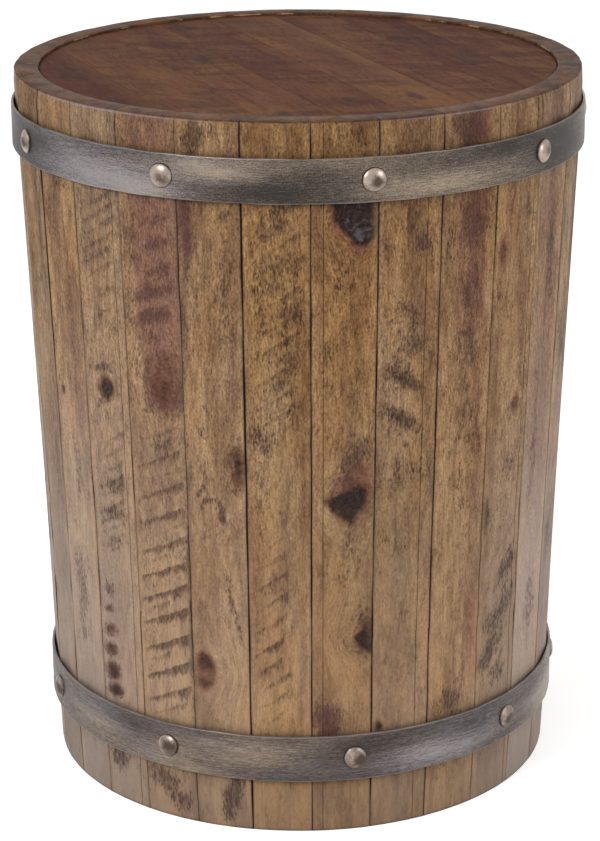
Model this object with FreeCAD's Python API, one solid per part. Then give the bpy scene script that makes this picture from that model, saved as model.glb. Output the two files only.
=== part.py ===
import FreeCAD, Part
import math
import os

Vector = FreeCAD.Vector

# A barrel-shaped side table. Flat-faced wooden staves stand edge to edge in a ring that widens
# towards the top. Two riveted metal hoops go round them, each held by a row of domed nails, and
# a round top of glued planks lies just below the rim.
# Lengths are in millimetres and angles in degrees. The origin is on the floor at the centre of
# the base, +Z is up, and the front is at -Y. An angle round the table is 0 at the front and
# grows towards +X.

# Whole body, measured across opposite stave corners
table_height = 609.6
top_width = 480.0
knee_width = 448.0
foot_width = 437.4
knee_height = 205.0
knee_reach = 90.0

# Staves, numbered from the left of the front towards the right
stave_count = 28
stave_thickness = 20.0
stave_rim_bevel = 1.6
stave_foot_bevel = 1.0
stave_seam_bevel = 0.8
first_seam_angle = -61.5
stave_width_shares = [
    0.968, 0.968, 1.011, 0.988, 1.019, 1.003, 1.019, 1.027, 1.011, 1.019,
    0.995, 1.006, 0.985, 1.012, 0.990, 1.004, 0.982, 1.010, 0.998, 0.991,
    1.014, 0.984, 1.002, 0.994, 1.011, 0.986, 1.003, 1.000,
]

# Round top of planks, and the angle of their grain from +X
panel_thickness = 18.0
panel_recess = 2.0
panel_clearance = 0.5
panel_edge_bevel = 0.8
plank_angle = 112.0
plank_width_shares = [0.118, 0.136, 0.131, 0.124, 0.129, 0.115, 0.108, 0.139]

# Ring under the top, fixed to the staves and to the planks
ring_thickness = 18.0
ring_width = 32.0
ring_clearance = 0.2

# Base panel, held in a groove round the inside of the staves
base_height = 30.0
base_thickness = 12.0
groove_depth = 5.0
groove_clearance = 0.3

# Hoops, each a flat strip whose outer end is stepped over the inner end and riveted
hoop_thickness = 2.0
hoop_lap_length = 38.0
hoop_step_length = 9.0
hoop_lap_clearance = 0.1
top_hoop_drop = 27.7
top_hoop_width = 36.0
top_hoop_clearance = 0.4
bottom_hoop_height = 48.8
bottom_hoop_width = 41.0
bottom_hoop_clearance = 1.0

# Domed nails through the hoops
nail_count = 9
nail_head_width = 19.5
nail_head_height = 4.4
nail_shank_width = 3.2
nail_shank_length = 18.0
nail_tip_width = 0.8
top_nail_angle = 13.9
bottom_nail_angle = 11.4

# How far each nail strays from even spacing, having been set by hand
top_nail_strays = [0.0, 0.0, -0.5, 0.6, -0.3, 0.4, -0.6, 0.0, 0.0]
bottom_nail_strays = [0.0, 0.0, -0.4, 0.5, -0.6, 0.4, -0.8, -2.1, -1.4]

# Round heads and shanks have this many flats, which keeps the many small pieces light
head_sides = 14
head_level_shares = [1.0, 0.64, 0.3]

# Rivets through each hoop's lap
rivet_shank_width = 5.0
rivet_head_width = 10.0
rivet_head_height = 2.4
rivet_spacing = 18.0

# Flat wire brads driven through the ring, flush with it, into the planks and the staves
brad_width = 1.6
brad_thickness = 1.4
brad_head_width = 3.0
brad_head_length = 1.2
brad_point_length = 2.5
plank_brad_bite = 12.0
stave_brad_bite = 12.0
stave_brad_count = 14

# Room round every nail, rivet and brad in its hole, and how far a cut runs past its piece
hole_clearance = 0.05
overrun = 5.0

half_turn = 180.0
quarter_turn = 90.0
full_turn = 360.0
z_axis = Vector(0, 0, 1)
y_axis = Vector(0, 1, 0)
centre = Vector(0, 0, 0)


def cosine(angle):
    return math.cos(math.radians(angle))


def sine(angle):
    return math.sin(math.radians(angle))


def tangent(angle):
    return math.tan(math.radians(angle))


def line(start, end):
    return Part.LineSegment(start, end).toShape()


def arc(start, middle, end):
    return Part.Arc(start, middle, end).toShape()


def corner_radius(height):
    """Distance from the axis to the stave corners at a height, with the bend's soft curve."""
    upper_slope = (top_width - knee_width) / 2 / (table_height - knee_height)
    lower_slope = (knee_width - foot_width) / 2 / knee_height
    above = height - knee_height
    slope = upper_slope if above > 0 else lower_slope
    inside = max(0, knee_reach - abs(above))
    bend = (upper_slope - lower_slope) * inside ** 2 / (4 * knee_reach)
    return knee_width / 2 + slope * above + bend


def stave_widths():
    """The angle that each stave takes of the full turn."""
    shares = [stave_width_shares[i % len(stave_width_shares)] for i in range(stave_count)]
    return [full_turn * share / sum(shares) for share in shares]


def stave_places():
    """The middle angle and the angular width of each stave, in order."""
    places = []
    seam = first_seam_angle
    for width in stave_widths():
        places.append((seam + width / 2, width))
        seam += width
    return places


def inner_radius(height):
    """The largest circle inside the staves at a height."""
    return corner_radius(height) * cosine(max(stave_widths()) / 2) - stave_thickness


def set_round(shape, angle, height):
    """Turn a shape made along +X to an angle round the table, and lift it to a height."""
    turned = shape.copy()
    turned.rotate(centre, z_axis, angle - quarter_turn)
    turned.translate(Vector(0, 0, height))
    return turned


def closed(corners):
    return Part.makePolygon(corners + corners[:1])


def stacked(outlines):
    """A solid with flat sides through a stack of outlines that have equally many corners."""
    faces = [Part.Face(closed(outlines[0])), Part.Face(closed(outlines[-1]))]
    for low, high in zip(outlines[:-1], outlines[1:]):
        for i, corner in enumerate(low):
            following = (i + 1) % len(low)
            quad = [corner, low[following], high[following], high[i]]
            faces.append(Part.Face(closed(quad)))
    return Part.makeSolid(Part.makeShell(faces))


def regular(distance, radius, sides, first_angle=0):
    """The corners of a regular outline across the X axis, at a distance along it."""
    angles = [first_angle + full_turn * i / sides for i in range(sides)]
    return [Vector(distance, radius * cosine(a), radius * sine(a)) for a in angles]


def nail_angles(first_angle, strays):
    """The nails go round at nearly even steps from the first one."""
    return [first_angle + full_turn * i / nail_count + strays[i % len(strays)]
            for i in range(nail_count)]


def angle_between(a, b):
    return abs((a - b + half_turn) % full_turn - half_turn)


# Hoops and what holds them

top_hoop_height = table_height - top_hoop_drop - top_hoop_width
top_hoop = (top_hoop_height, top_hoop_width, top_hoop_clearance,
            top_nail_angle, top_nail_strays)
bottom_hoop = (bottom_hoop_height, bottom_hoop_width, bottom_hoop_clearance,
               bottom_nail_angle, bottom_nail_strays)


def hoop_inner_radius(height, width, clearance):
    """The hoop is round, so only its wider edge, the upper one here, comes near the corners."""
    return max(corner_radius(height), corner_radius(height + width)) + clearance


def hoop_outline(radius, lap_angle):
    """The strip seen from above, from its inner end round to its lapped outer end."""
    lap = math.degrees(hoop_lap_length / radius)
    step = math.degrees(hoop_step_length / radius)
    outer = radius + hoop_thickness
    lap_inner = outer + hoop_lap_clearance
    lap_outer = lap_inner + hoop_thickness
    start = lap_angle - lap / 2
    step_start = start + full_turn - step
    end = start + full_turn + lap

    def point(distance, angle):
        return Vector(distance * sine(angle), -distance * cosine(angle), 0)

    def sweep(distance, first, last):
        middle = (first + last) / 2
        return arc(point(distance, first), point(distance, middle), point(distance, last))

    full = start + full_turn
    return Part.Wire([
        sweep(radius, start, step_start),
        line(point(radius, step_start), point(lap_inner, full)),
        sweep(lap_inner, full, end),
        line(point(lap_inner, end), point(lap_outer, end)),
        sweep(lap_outer, end, full),
        line(point(lap_outer, full), point(outer, step_start)),
        sweep(outer, step_start, start),
        line(point(outer, start), point(radius, start)),
    ])


def rivet_angles(radius, lap_angle):
    """Two rivets side by side in the middle of the lap."""
    offset = math.degrees(rivet_spacing / 2 / radius)
    return [lap_angle - offset, lap_angle + offset]


def lap_thickness():
    return 2 * hoop_thickness + hoop_lap_clearance


def make_hoop(height, width, clearance, nail_angle, strays):
    radius = hoop_inner_radius(height, width, clearance)
    lap_angle = nail_angle + half_turn
    strip = Part.Face(hoop_outline(radius, lap_angle)).extrude(Vector(0, 0, width))
    strip.translate(Vector(0, 0, height))
    middle = height + width / 2
    nail_hole = spike_cutter(radius + hoop_thickness)
    rivet_room = rivet_shank_width / 2 + hole_clearance
    rivet_hole = stacked([
        regular(radius - overrun, rivet_room, head_sides),
        regular(radius + lap_thickness() + overrun, rivet_room, head_sides),
    ])
    cutters = [set_round(nail_hole, angle, middle) for angle in nail_angles(nail_angle, strays)]
    cutters += [set_round(rivet_hole, angle, middle) for angle in rivet_angles(radius, lap_angle)]
    return strip.cut(cutters)


def dome(seat, width, height):
    """The outlines of a low round head that stands on a flat seat, from the seat up."""
    ball = (width ** 2 / 4 + height ** 2) / (2 * height)
    rim_angle = math.degrees(math.asin(width / 2 / ball))
    outlines = []
    for share in head_level_shares:
        drop = ball * (1 - cosine(rim_angle * share))
        outlines.append(regular(seat + height - drop, ball * sine(rim_angle * share), head_sides))
    return outlines


def square(distance, width):
    """The corners of a square across the X axis, with level and upright sides."""
    return regular(distance, width / 2 / cosine(quarter_turn / 2), 4, quarter_turn / 2)


def spike_cutter(seat):
    """The hole for a nail: its shank a little wider, and open past the seat of its head."""
    room = 2 * hole_clearance
    flare = (nail_shank_width - nail_tip_width) / nail_shank_length
    tip = square(seat - nail_shank_length - room, nail_tip_width + room)
    mouth = square(seat + overrun, nail_shank_width + flare * overrun + room)
    return stacked([tip, mouth])


def make_nail(seat):
    """A domed head on a square shank that tapers to its tip."""
    shank = stacked([square(seat - nail_shank_length, nail_tip_width),
                     square(seat, nail_shank_width)])
    head = stacked(dome(seat, nail_head_width, nail_head_height))
    return head.fuse(shank).removeSplitter()


def make_nails(height, width, clearance, nail_angle, strays):
    seat = hoop_inner_radius(height, width, clearance) + hoop_thickness
    nail = make_nail(seat)
    return [set_round(nail, a, height + width / 2) for a in nail_angles(nail_angle, strays)]


def make_rivets(height, width, clearance, nail_angle, strays):
    """Each rivet ends flush with the inside of the hoop and has a domed head outside."""
    radius = hoop_inner_radius(height, width, clearance)
    seat = radius + lap_thickness()
    half = rivet_shank_width / 2
    shank = stacked([regular(radius, half, head_sides), regular(seat, half, head_sides)])
    head = stacked(dome(seat, rivet_head_width, rivet_head_height))
    rivet = head.fuse(shank).removeSplitter()
    angles = rivet_angles(radius, nail_angle + half_turn)
    return [set_round(rivet, a, height + width / 2) for a in angles]


# Ring under the top, its brads and the planks

panel_top = table_height - panel_recess
panel_underside = panel_top - panel_thickness
ring_underside = panel_underside - ring_thickness
ring_middle = ring_underside + ring_thickness / 2
panel_radius = inner_radius(panel_underside) - panel_clearance
ring_inner_radius = inner_radius(ring_underside) - ring_clearance - ring_width
plank_brad_radius = ring_inner_radius + ring_width / 2


def seam_angles():
    return [middle - width / 2 for middle, width in stave_places()]


def ring_corner_radius(height):
    """Distance to the ring's outer corners, which point at the seams."""
    half = max(stave_widths()) / 2
    return corner_radius(height) - stave_thickness / cosine(half) - ring_clearance


def seam_corners(radius, height):
    """A corner at each seam, like the inside of the stave ring."""
    return [Vector(radius * sine(a), -radius * cosine(a), height) for a in seam_angles()]


def make_ring():
    """The ring is cut to the flats of the staves, and its outer edge leans as they do."""
    outer = stacked([
        seam_corners(ring_corner_radius(ring_underside), ring_underside),
        seam_corners(ring_corner_radius(panel_underside), panel_underside),
    ])
    inner = stacked([
        seam_corners(ring_inner_radius, ring_underside - overrun),
        seam_corners(ring_inner_radius, panel_underside + overrun),
    ])
    return outer.cut([inner] + plank_brads(hole_clearance) + stave_brads(hole_clearance))


def brad(head, length, room):
    """A brad along +X from a distance; with room, the hole for it, open past its head."""
    shank = brad_width / 2 + room
    wide = brad_head_width / 2 + room
    top = head - overrun if room else head
    neck = head + brad_head_length + room
    tip = head + length + room
    shoulder = tip - brad_point_length
    point = brad_width / 8
    half_outline = [(top, wide), (neck, wide), (neck, shank), (shoulder, shank), (tip, point)]
    corners = [Vector(x, -brad_thickness / 2 - room, z) for x, z in half_outline]
    corners += [Vector(x, -brad_thickness / 2 - room, -z) for x, z in reversed(half_outline)]
    return Part.Face(closed(corners)).extrude(Vector(0, brad_thickness + 2 * room, 0))


def stand_up(shape, place):
    """Turn a shape made along +X to point up, and move its start to a place."""
    raised = shape.copy()
    raised.rotate(centre, y_axis, -quarter_turn)
    raised.translate(place)
    return raised


def plank_edges():
    """Distances of the plank joints from the centre line, from one rim to the other."""
    edges = [-panel_radius]
    for share in plank_width_shares:
        edges.append(edges[-1] + 2 * panel_radius * share / sum(plank_width_shares))
    return edges


def plank_brads(room=0):
    """Two brads in each plank, where its middle line crosses the ring."""
    edges = plank_edges()
    piece = brad(0, ring_thickness + plank_brad_bite, room)
    brads = []
    for near, far in zip(edges[:-1], edges[1:]):
        across = (near + far) / 2
        along = math.sqrt(plank_brad_radius ** 2 - across ** 2)
        for side in (-along, along):
            place = Vector(side, -across, ring_underside)
            place = FreeCAD.Rotation(z_axis, plank_angle).multVec(place)
            brads.append(stand_up(piece, place))
    return brads


def stave_brad(middle, width, room=0):
    """A brad through the ring into the middle of a stave."""
    head = ring_inner_radius * cosine(width / 2)
    length = inner_radius(ring_middle) - head + stave_brad_bite
    return set_round(brad(head, length, room), middle, ring_middle)


def bradded_staves():
    """The places of the staves that the ring is nailed to, spread evenly from the second on."""
    places = stave_places()
    picks = [1 + i * stave_count // stave_brad_count for i in range(stave_brad_count)]
    return [places[pick % stave_count] for pick in picks]


def stave_brads(room=0):
    return [stave_brad(middle, width, room) for middle, width in bradded_staves()]


def make_planks():
    disc = Part.makeCylinder(panel_radius, panel_thickness, Vector(0, 0, panel_underside))
    rim = [edge for edge in disc.Edges
           if edge.isClosed() and edge.CenterOfMass.z > panel_top - panel_edge_bevel]
    disc = disc.makeChamfer(panel_edge_bevel, rim)
    disc = disc.cut(plank_brads(hole_clearance))
    edges = plank_edges()
    reach = panel_radius + overrun
    planks = []
    for i, (near, far) in enumerate(zip(edges[:-1], edges[1:])):
        low = near - overrun if i == 0 else near
        high = far + overrun if i == len(edges) - 2 else far
        strip = Part.makeBox(2 * reach, high - low, panel_thickness + 2 * overrun,
                             Vector(-reach, -high, panel_underside - overrun))
        strip.rotate(centre, z_axis, plank_angle)
        planks.append(disc.common(strip))
    return planks


# Base panel and its groove

groove_radius = inner_radius(base_height) + groove_depth


def groove_cutter():
    return Part.makeCylinder(groove_radius, base_thickness + groove_clearance,
                             Vector(0, 0, base_height))


def make_base():
    return Part.makeCylinder(groove_radius - groove_clearance, base_thickness,
                             Vector(0, 0, base_height))


# Staves

def stave_profile(width):
    """The stave cut along its middle: a long outer line, the soft bend and a steeper foot."""
    squash = cosine(width / 2)

    def outer(height):
        return Vector(corner_radius(height) * squash, 0, height)

    def inner(height):
        return outer(height) - Vector(stave_thickness, 0, 0)

    bend_top = knee_height + knee_reach
    bend_foot = knee_height - knee_reach
    rim_start = outer(table_height) - Vector(stave_rim_bevel, 0, 0)
    rim_end = outer(table_height - stave_rim_bevel)
    foot_end = outer(0) - Vector(stave_foot_bevel, 0, 0)
    return Part.Wire([
        line(inner(table_height), rim_start),
        line(rim_start, rim_end),
        line(rim_end, outer(bend_top)),
        arc(outer(bend_top), outer(knee_height), outer(bend_foot)),
        line(outer(bend_foot), outer(stave_foot_bevel)),
        line(outer(stave_foot_bevel), foot_end),
        line(foot_end, inner(0)),
        line(inner(0), inner(bend_foot)),
        arc(inner(bend_foot), inner(knee_height), inner(bend_top)),
        line(inner(bend_top), inner(table_height)),
    ])


def seam_wedge(width):
    """The space between a stave's two seam planes, which meet at the table's axis."""
    reach = top_width
    low = -overrun
    spread = reach * tangent(width / 2)
    corners = [Vector(0, 0, low), Vector(reach, -spread, low), Vector(reach, spread, low)]
    return Part.Face(closed(corners)).extrude(Vector(0, 0, table_height + 2 * overrun))


def outer_seam_edges(stave, width):
    """The long outer edges of a stave, where its face meets its two seam planes."""
    found = []
    for edge in stave.Edges:
        middle = edge.valueAt((edge.FirstParameter + edge.LastParameter) / 2)
        ends = [vertex.Point for vertex in edge.Vertexes]
        rise = max(p.z for p in ends) - min(p.z for p in ends)
        outside = middle.x > corner_radius(middle.z) * cosine(width / 2) - stave_thickness / 2
        on_seam = abs(abs(middle.y) - middle.x * tangent(width / 2)) < stave_seam_bevel / 2
        if rise > stave_rim_bevel and outside and on_seam:
            found.append(edge)
    return found


def stave_blank(width):
    half = corner_radius(table_height) * sine(width / 2) + overrun
    face = Part.Face(stave_profile(width))
    face.translate(Vector(0, -half, 0))
    slab = face.extrude(Vector(0, 2 * half, 0))
    blank = slab.common(seam_wedge(width)).Solids[0]
    return blank.makeChamfer(stave_seam_bevel, outer_seam_edges(blank, width))


def nail_hole_cutters():
    """Each nail's hole in the wood, with the angle where it lies."""
    cutters = []
    for height, width, clearance, nail_angle, strays in (top_hoop, bottom_hoop):
        seat = hoop_inner_radius(height, width, clearance) + hoop_thickness
        cutter = spike_cutter(seat)
        for angle in nail_angles(nail_angle, strays):
            cutters.append((angle, set_round(cutter, angle, height + width / 2)))
    return cutters


def make_staves():
    nail_holes = nail_hole_cutters()
    groove = groove_cutter()
    margin = math.degrees(nail_shank_width / (foot_width / 2 - stave_thickness))
    staves = []
    for middle, width in stave_places():
        stave = set_round(stave_blank(width), middle, 0)
        cutters = [cutter for angle, cutter in nail_holes
                   if angle_between(angle, middle) < width / 2 + margin]
        if (middle, width) in bradded_staves():
            cutters.append(stave_brad(middle, width, hole_clearance))
        staves.append(stave.cut([groove] + cutters))
    return staves


# Writing the pieces

def write(name, shape):
    solids = shape if isinstance(shape, list) else [shape]
    Part.makeCompound([solid for piece in solids for solid in piece.Solids]).exportStep(
        os.path.join("parts", name + ".step"))


def main():
    os.makedirs("parts", exist_ok=True)
    for i, stave in enumerate(make_staves()):
        write("stave_%02d" % (i + 1), stave)
    for i, plank in enumerate(make_planks()):
        write("top_plank_%d" % (i + 1), plank)
    write("top_support_ring", make_ring())
    write("plank_brads", plank_brads())
    write("stave_brads", stave_brads())
    write("base_panel", make_base())
    for name, hoop in (("top_hoop", top_hoop), ("bottom_hoop", bottom_hoop)):
        write(name, make_hoop(*hoop))
        write(name + "_nails", make_nails(*hoop))
    write("hoop_rivets", make_rivets(*top_hoop) + make_rivets(*bottom_hoop))


main()
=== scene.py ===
import bpy
import math
import random
import numpy as np
from mathutils import Matrix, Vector
from types import SimpleNamespace


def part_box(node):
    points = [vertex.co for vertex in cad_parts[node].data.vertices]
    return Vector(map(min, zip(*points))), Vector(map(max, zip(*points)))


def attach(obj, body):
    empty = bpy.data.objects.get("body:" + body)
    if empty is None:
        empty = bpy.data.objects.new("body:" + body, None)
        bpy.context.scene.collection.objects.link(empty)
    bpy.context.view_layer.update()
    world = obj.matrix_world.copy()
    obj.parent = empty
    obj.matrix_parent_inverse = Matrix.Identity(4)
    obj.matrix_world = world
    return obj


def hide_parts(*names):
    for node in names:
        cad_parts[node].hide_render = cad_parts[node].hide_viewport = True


# The looks of a barrel-shaped side table. Lengths are in metres, except in the lists of marks,
# which are in millimetres. An angle round the table is 0 at the front and grows towards +X.

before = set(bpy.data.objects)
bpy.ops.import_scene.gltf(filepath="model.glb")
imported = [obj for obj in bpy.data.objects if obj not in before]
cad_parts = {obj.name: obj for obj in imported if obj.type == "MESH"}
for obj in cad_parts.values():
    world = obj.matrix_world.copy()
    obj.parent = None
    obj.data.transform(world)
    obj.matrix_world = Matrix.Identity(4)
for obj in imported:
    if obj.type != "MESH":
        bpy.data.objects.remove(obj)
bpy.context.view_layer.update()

mm = 0.001
stave_names = sorted(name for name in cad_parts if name.startswith("stave_") and name[-1].isdigit())
plank_names = sorted(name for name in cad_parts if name.startswith("top_plank_"))
table_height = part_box(stave_names[0])[1].z


# Reading the frame

def corners(node):
    """The corners of a CAD node as an array."""
    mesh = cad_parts[node].data
    flat = np.zeros(len(mesh.vertices) * 3)
    mesh.vertices.foreach_get("co", flat)
    return flat.reshape(-1, 3)


def direction(angle):
    """Unit vector that points away from the axis at an angle round the table."""
    return np.array([math.sin(angle), -math.cos(angle), 0.0])


def sideways(angle):
    """Unit vector to the right for someone who faces the table at that angle."""
    return np.array([math.cos(angle), math.sin(angle), 0.0])


def smooth_step(value, low, high):
    share = np.clip((value - low) / (high - low), 0, 1)
    return share * share * (3 - 2 * share)


def wander(values, seed, pitch):
    """A smooth wavy line from -1 to 1, with waves about one pitch long."""
    dice = random.Random(seed)
    total = np.zeros_like(values, dtype=float)
    for share in (0.45, 0.7, 1.0, 1.6, 2.7):
        turn = 2 * math.pi / (pitch * share)
        total = total + np.sin(values * turn + dice.uniform(0, 2 * math.pi)) * dice.uniform(0.2, 0.5)
    return np.clip(total, -1, 1)


# Meshes

def new_piece(name, points, faces, attributes, material, nodes, sharp_angle=40):
    """A mesh that stands for CAD nodes, with its attributes, finish and slot."""
    mesh = bpy.data.meshes.new(name)
    mesh.from_pydata(points.tolist(), [], faces)
    for key, values in attributes.items():
        kind = "FLOAT_VECTOR" if values.shape[1] == 3 else "FLOAT_COLOR"
        store = mesh.attributes.new(key, kind, "POINT")
        store.data.foreach_set("vector" if kind == "FLOAT_VECTOR" else "color",
                               values.astype(np.float32).ravel())
    mesh.polygons.foreach_set("use_smooth", [True] * len(mesh.polygons))
    mesh.set_sharp_from_angle(angle=math.radians(sharp_angle))
    mesh.materials.append(material)
    piece = bpy.data.objects.new(name, mesh)
    bpy.context.scene.collection.objects.link(piece)
    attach(piece, "root")
    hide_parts(*nodes)
    return piece


def tube_faces(levels, count, first=0, ladder_ends=False):
    """Quads round a stack of closed outlines, and its two ends."""
    faces = []
    for level in range(levels - 1):
        low = first + level * count
        for i in range(count):
            j = (i + 1) % count
            faces.append((low + i, low + j, low + count + j, low + count + i))
    for level, flip in ((0, True), (levels - 1, False)):
        ring = [first + level * count + i for i in range(count)]
        if ladder_ends:
            ends = [(ring[i], ring[i + 1], ring[count - 2 - i], ring[count - 1 - i])
                    for i in range(count // 2 - 1)]
        else:
            ends = [tuple(ring)]
        faces += [tuple(reversed(end)) if flip else end for end in ends]
    return faces


def columns_of(values):
    """Arrays of one value per point, side by side as the columns of one array."""
    return np.stack([value.ravel() for value in values], 1)


def rounding(distance, radius):
    """How far a surface drops at a distance from an edge that is rounded to a radius."""
    inside = np.clip(radius - distance, 0, radius)
    return radius - np.sqrt(radius ** 2 - inside ** 2)


# Marks in the wood, in millimetres. Across is 0 in the middle of a stave and grows to the right,
# and up is the height above the floor.

# Stave: across, up, half width, half height, darkness
stave_knots = {
    1: [(-14, 359, 3, 5, 0.6)],
    2: [(0, 376, 9, 9, 0.8), (-12, 158, 6, 5, 0.5), (-12, 140, 7, 6, 0.55), (-11, 120, 8, 8, 0.6),
        (-9, 102, 8, 6, 0.55)],
    3: [(9, 392, 15, 20, 0.42)],
    4: [(20, 327, 6, 16, 0.62)],
    7: [(-19, 94, 4, 5, 0.8)],
    9: [(-17, 488, 5, 12, 0.42), (10, 355, 6, 11, 0.42)],
}

# Stave: across, up, half width, half height, rise to the right in degrees, strength
stave_stains = {
    1: [(-4, 192, 10, 40, 0, 0.5), (8, 420, 6, 60, 0, 0.45), (-8, 520, 7, 30, 0, 0.5),
        (4, 540, 12, 8, 30, 0.5), (2, 505, 12, 8, 30, 0.45), (2, 300, 8, 40, 0, 0.4),
        (-4, 140, 7, 10, 0, 0.4)],
    2: [(-7, 392, 12, 5, 15, 0.8), (-5, 364, 12, 4, 25, 0.6), (-3, 352, 3, 9, 0, 0.5),
        (-1, 292, 14, 8, 25, 0.6), (-3, 266, 14, 8, 25, 0.6), (-2, 240, 12, 6, 25, 0.45),
        (-13, 196, 7, 8, 0, 0.7), (-13, 176, 6, 4, 10, 0.8), (-13, 157, 8, 7, 10, 0.9),
        (-13, 139, 8, 7, 10, 0.9), (-13, 120, 9, 8, 10, 1.0), (-11, 101, 10, 6, 10, 0.9),
        (-10, 40, 12, 14, 0, 0.75)],
    3: [(8, 526, 18, 5, 22, 0.55), (-17, 511, 6, 9, 0, 0.75), (9, 508, 18, 6, 25, 0.65),
        (-15, 492, 5, 8, 0, 0.7), (10, 486, 16, 6, 22, 0.65), (0, 465, 24, 6, 22, 0.8),
        (-2, 446, 22, 7, 20, 0.85), (0, 428, 12, 9, 0, 0.55), (14, 340, 14, 8, 20, 0.5),
        (-6, 34, 16, 12, -25, 0.9), (8, 18, 14, 10, -25, 0.8), (24.5, 215, 2.8, 120, 0, 0.6)],
    4: [(-20, 520, 6, 40, 0, 0.85), (-10, 597, 9, 14, 0, 0.9), (14, 535, 7, 5, 40, 0.75),
        (18, 328, 10, 22, 0, 0.75), (-11, 353, 3, 12, 35, 0.7), (3, 290, 2.4, 12, 18, 0.85),
        (4, 283, 3.4, 8, 10, 0.8), (-6, 295, 6, 2.2, 5, 0.8), (-15, 301, 2, 6, -25, 0.7),
        (-13, 288, 1.8, 8, -5, 0.55), (11, 205, 3, 16, 20, 0.62), (5, 188, 1.6, 13, 18, 0.5),
        (16, 182, 2.5, 18, 10, 0.62), (8, 225, 2, 14, 15, 0.5), (-6, 372, 2.5, 9, 30, 0.7),
        (7, 30, 7, 22, -15, 1.0), (12, 460, 8, 30, 0, 0.45)],
    5: [(-3, 523, 18, 8, 35, 0.6), (1, 497, 17, 7, 35, 0.6), (-3, 478, 17, 7, 30, 0.58),
        (9, 457, 16, 7, 30, 0.6), (-11, 348, 8, 9, 25, 0.65), (6, 420, 16, 7, 30, 0.55),
        (-2, 398, 16, 6, 30, 0.55), (2, 378, 14, 6, 30, 0.5), (10, 560, 12, 12, 0, 0.5),
        (-4, 440, 14, 6, 30, 0.5), (4, 540, 14, 6, 30, 0.5)],
    6: [(8, 330, 11, 30, -25, 0.7), (18, 192, 6, 14, 0, 0.65), (-11, 102, 14, 15, 0, 0.95),
        (6, 597, 14, 12, 0, 0.5), (8, 250, 16, 44, 0, 0.25), (14, 180, 12, 40, 0, 0.25)],
    7: [(2, 525, 7, 18, 0, 0.62), (8, 508, 8, 10, -20, 0.7), (-3, 455, 10, 6, -38, 0.5),
        (5, 444, 7, 5, -38, 0.5), (2, 425, 9, 14, 0, 0.6), (-8, 414, 6, 10, 0, 0.6),
        (-1, 397, 18, 8, -33, 0.6), (-7, 366, 18, 7, -30, 0.6), (-7, 310, 9, 14, -20, 0.6),
        (2, 340, 6, 6, 0, 0.5), (2, 322, 22, 10, -15, 0.42), (-2, 255, 22, 8, -15, 0.36)],
    8: [(3, 520, 13, 32, 0, 0.78), (5, 460, 11, 36, 5, 0.66), (4, 420, 9, 24, 0, 0.68),
        (8, 470, 5, 20, 0, 0.65), (-4, 385, 14, 10, -15, 0.45), (8, 358, 9, 12, 0, 0.45),
        (4, 118, 10, 10, 0, 0.4), (-3, 102, 14, 14, 10, 0.75), (-3, 597, 14, 16, 0, 0.95)],
    9: [(19, 515, 5, 22, 30, 0.5), (19, 486, 5, 16, 30, 0.48), (-22, 262, 5, 20, 0, 0.85),
        (4, 168, 9, 24, -38, 0.78), (-8, 136, 10, 24, -38, 0.82), (4, 112, 12, 10, 30, 0.7),
        (12, 210, 8, 20, -38, 0.75), (10, 300, 8, 30, -20, 0.4)],
    10: [(6, 470, 10, 50, 0, 0.6), (-6, 300, 8, 60, 0, 0.5), (4, 160, 10, 40, 0, 0.5)],
    11: [(-5, 480, 10, 30, 25, 0.6), (5, 380, 10, 30, 25, 0.6), (0, 200, 12, 60, 0, 0.5)],
    28: [(12, 480, 7, 90, 0, 0.45), (10, 300, 7, 80, 0, 0.45)],
}

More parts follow.
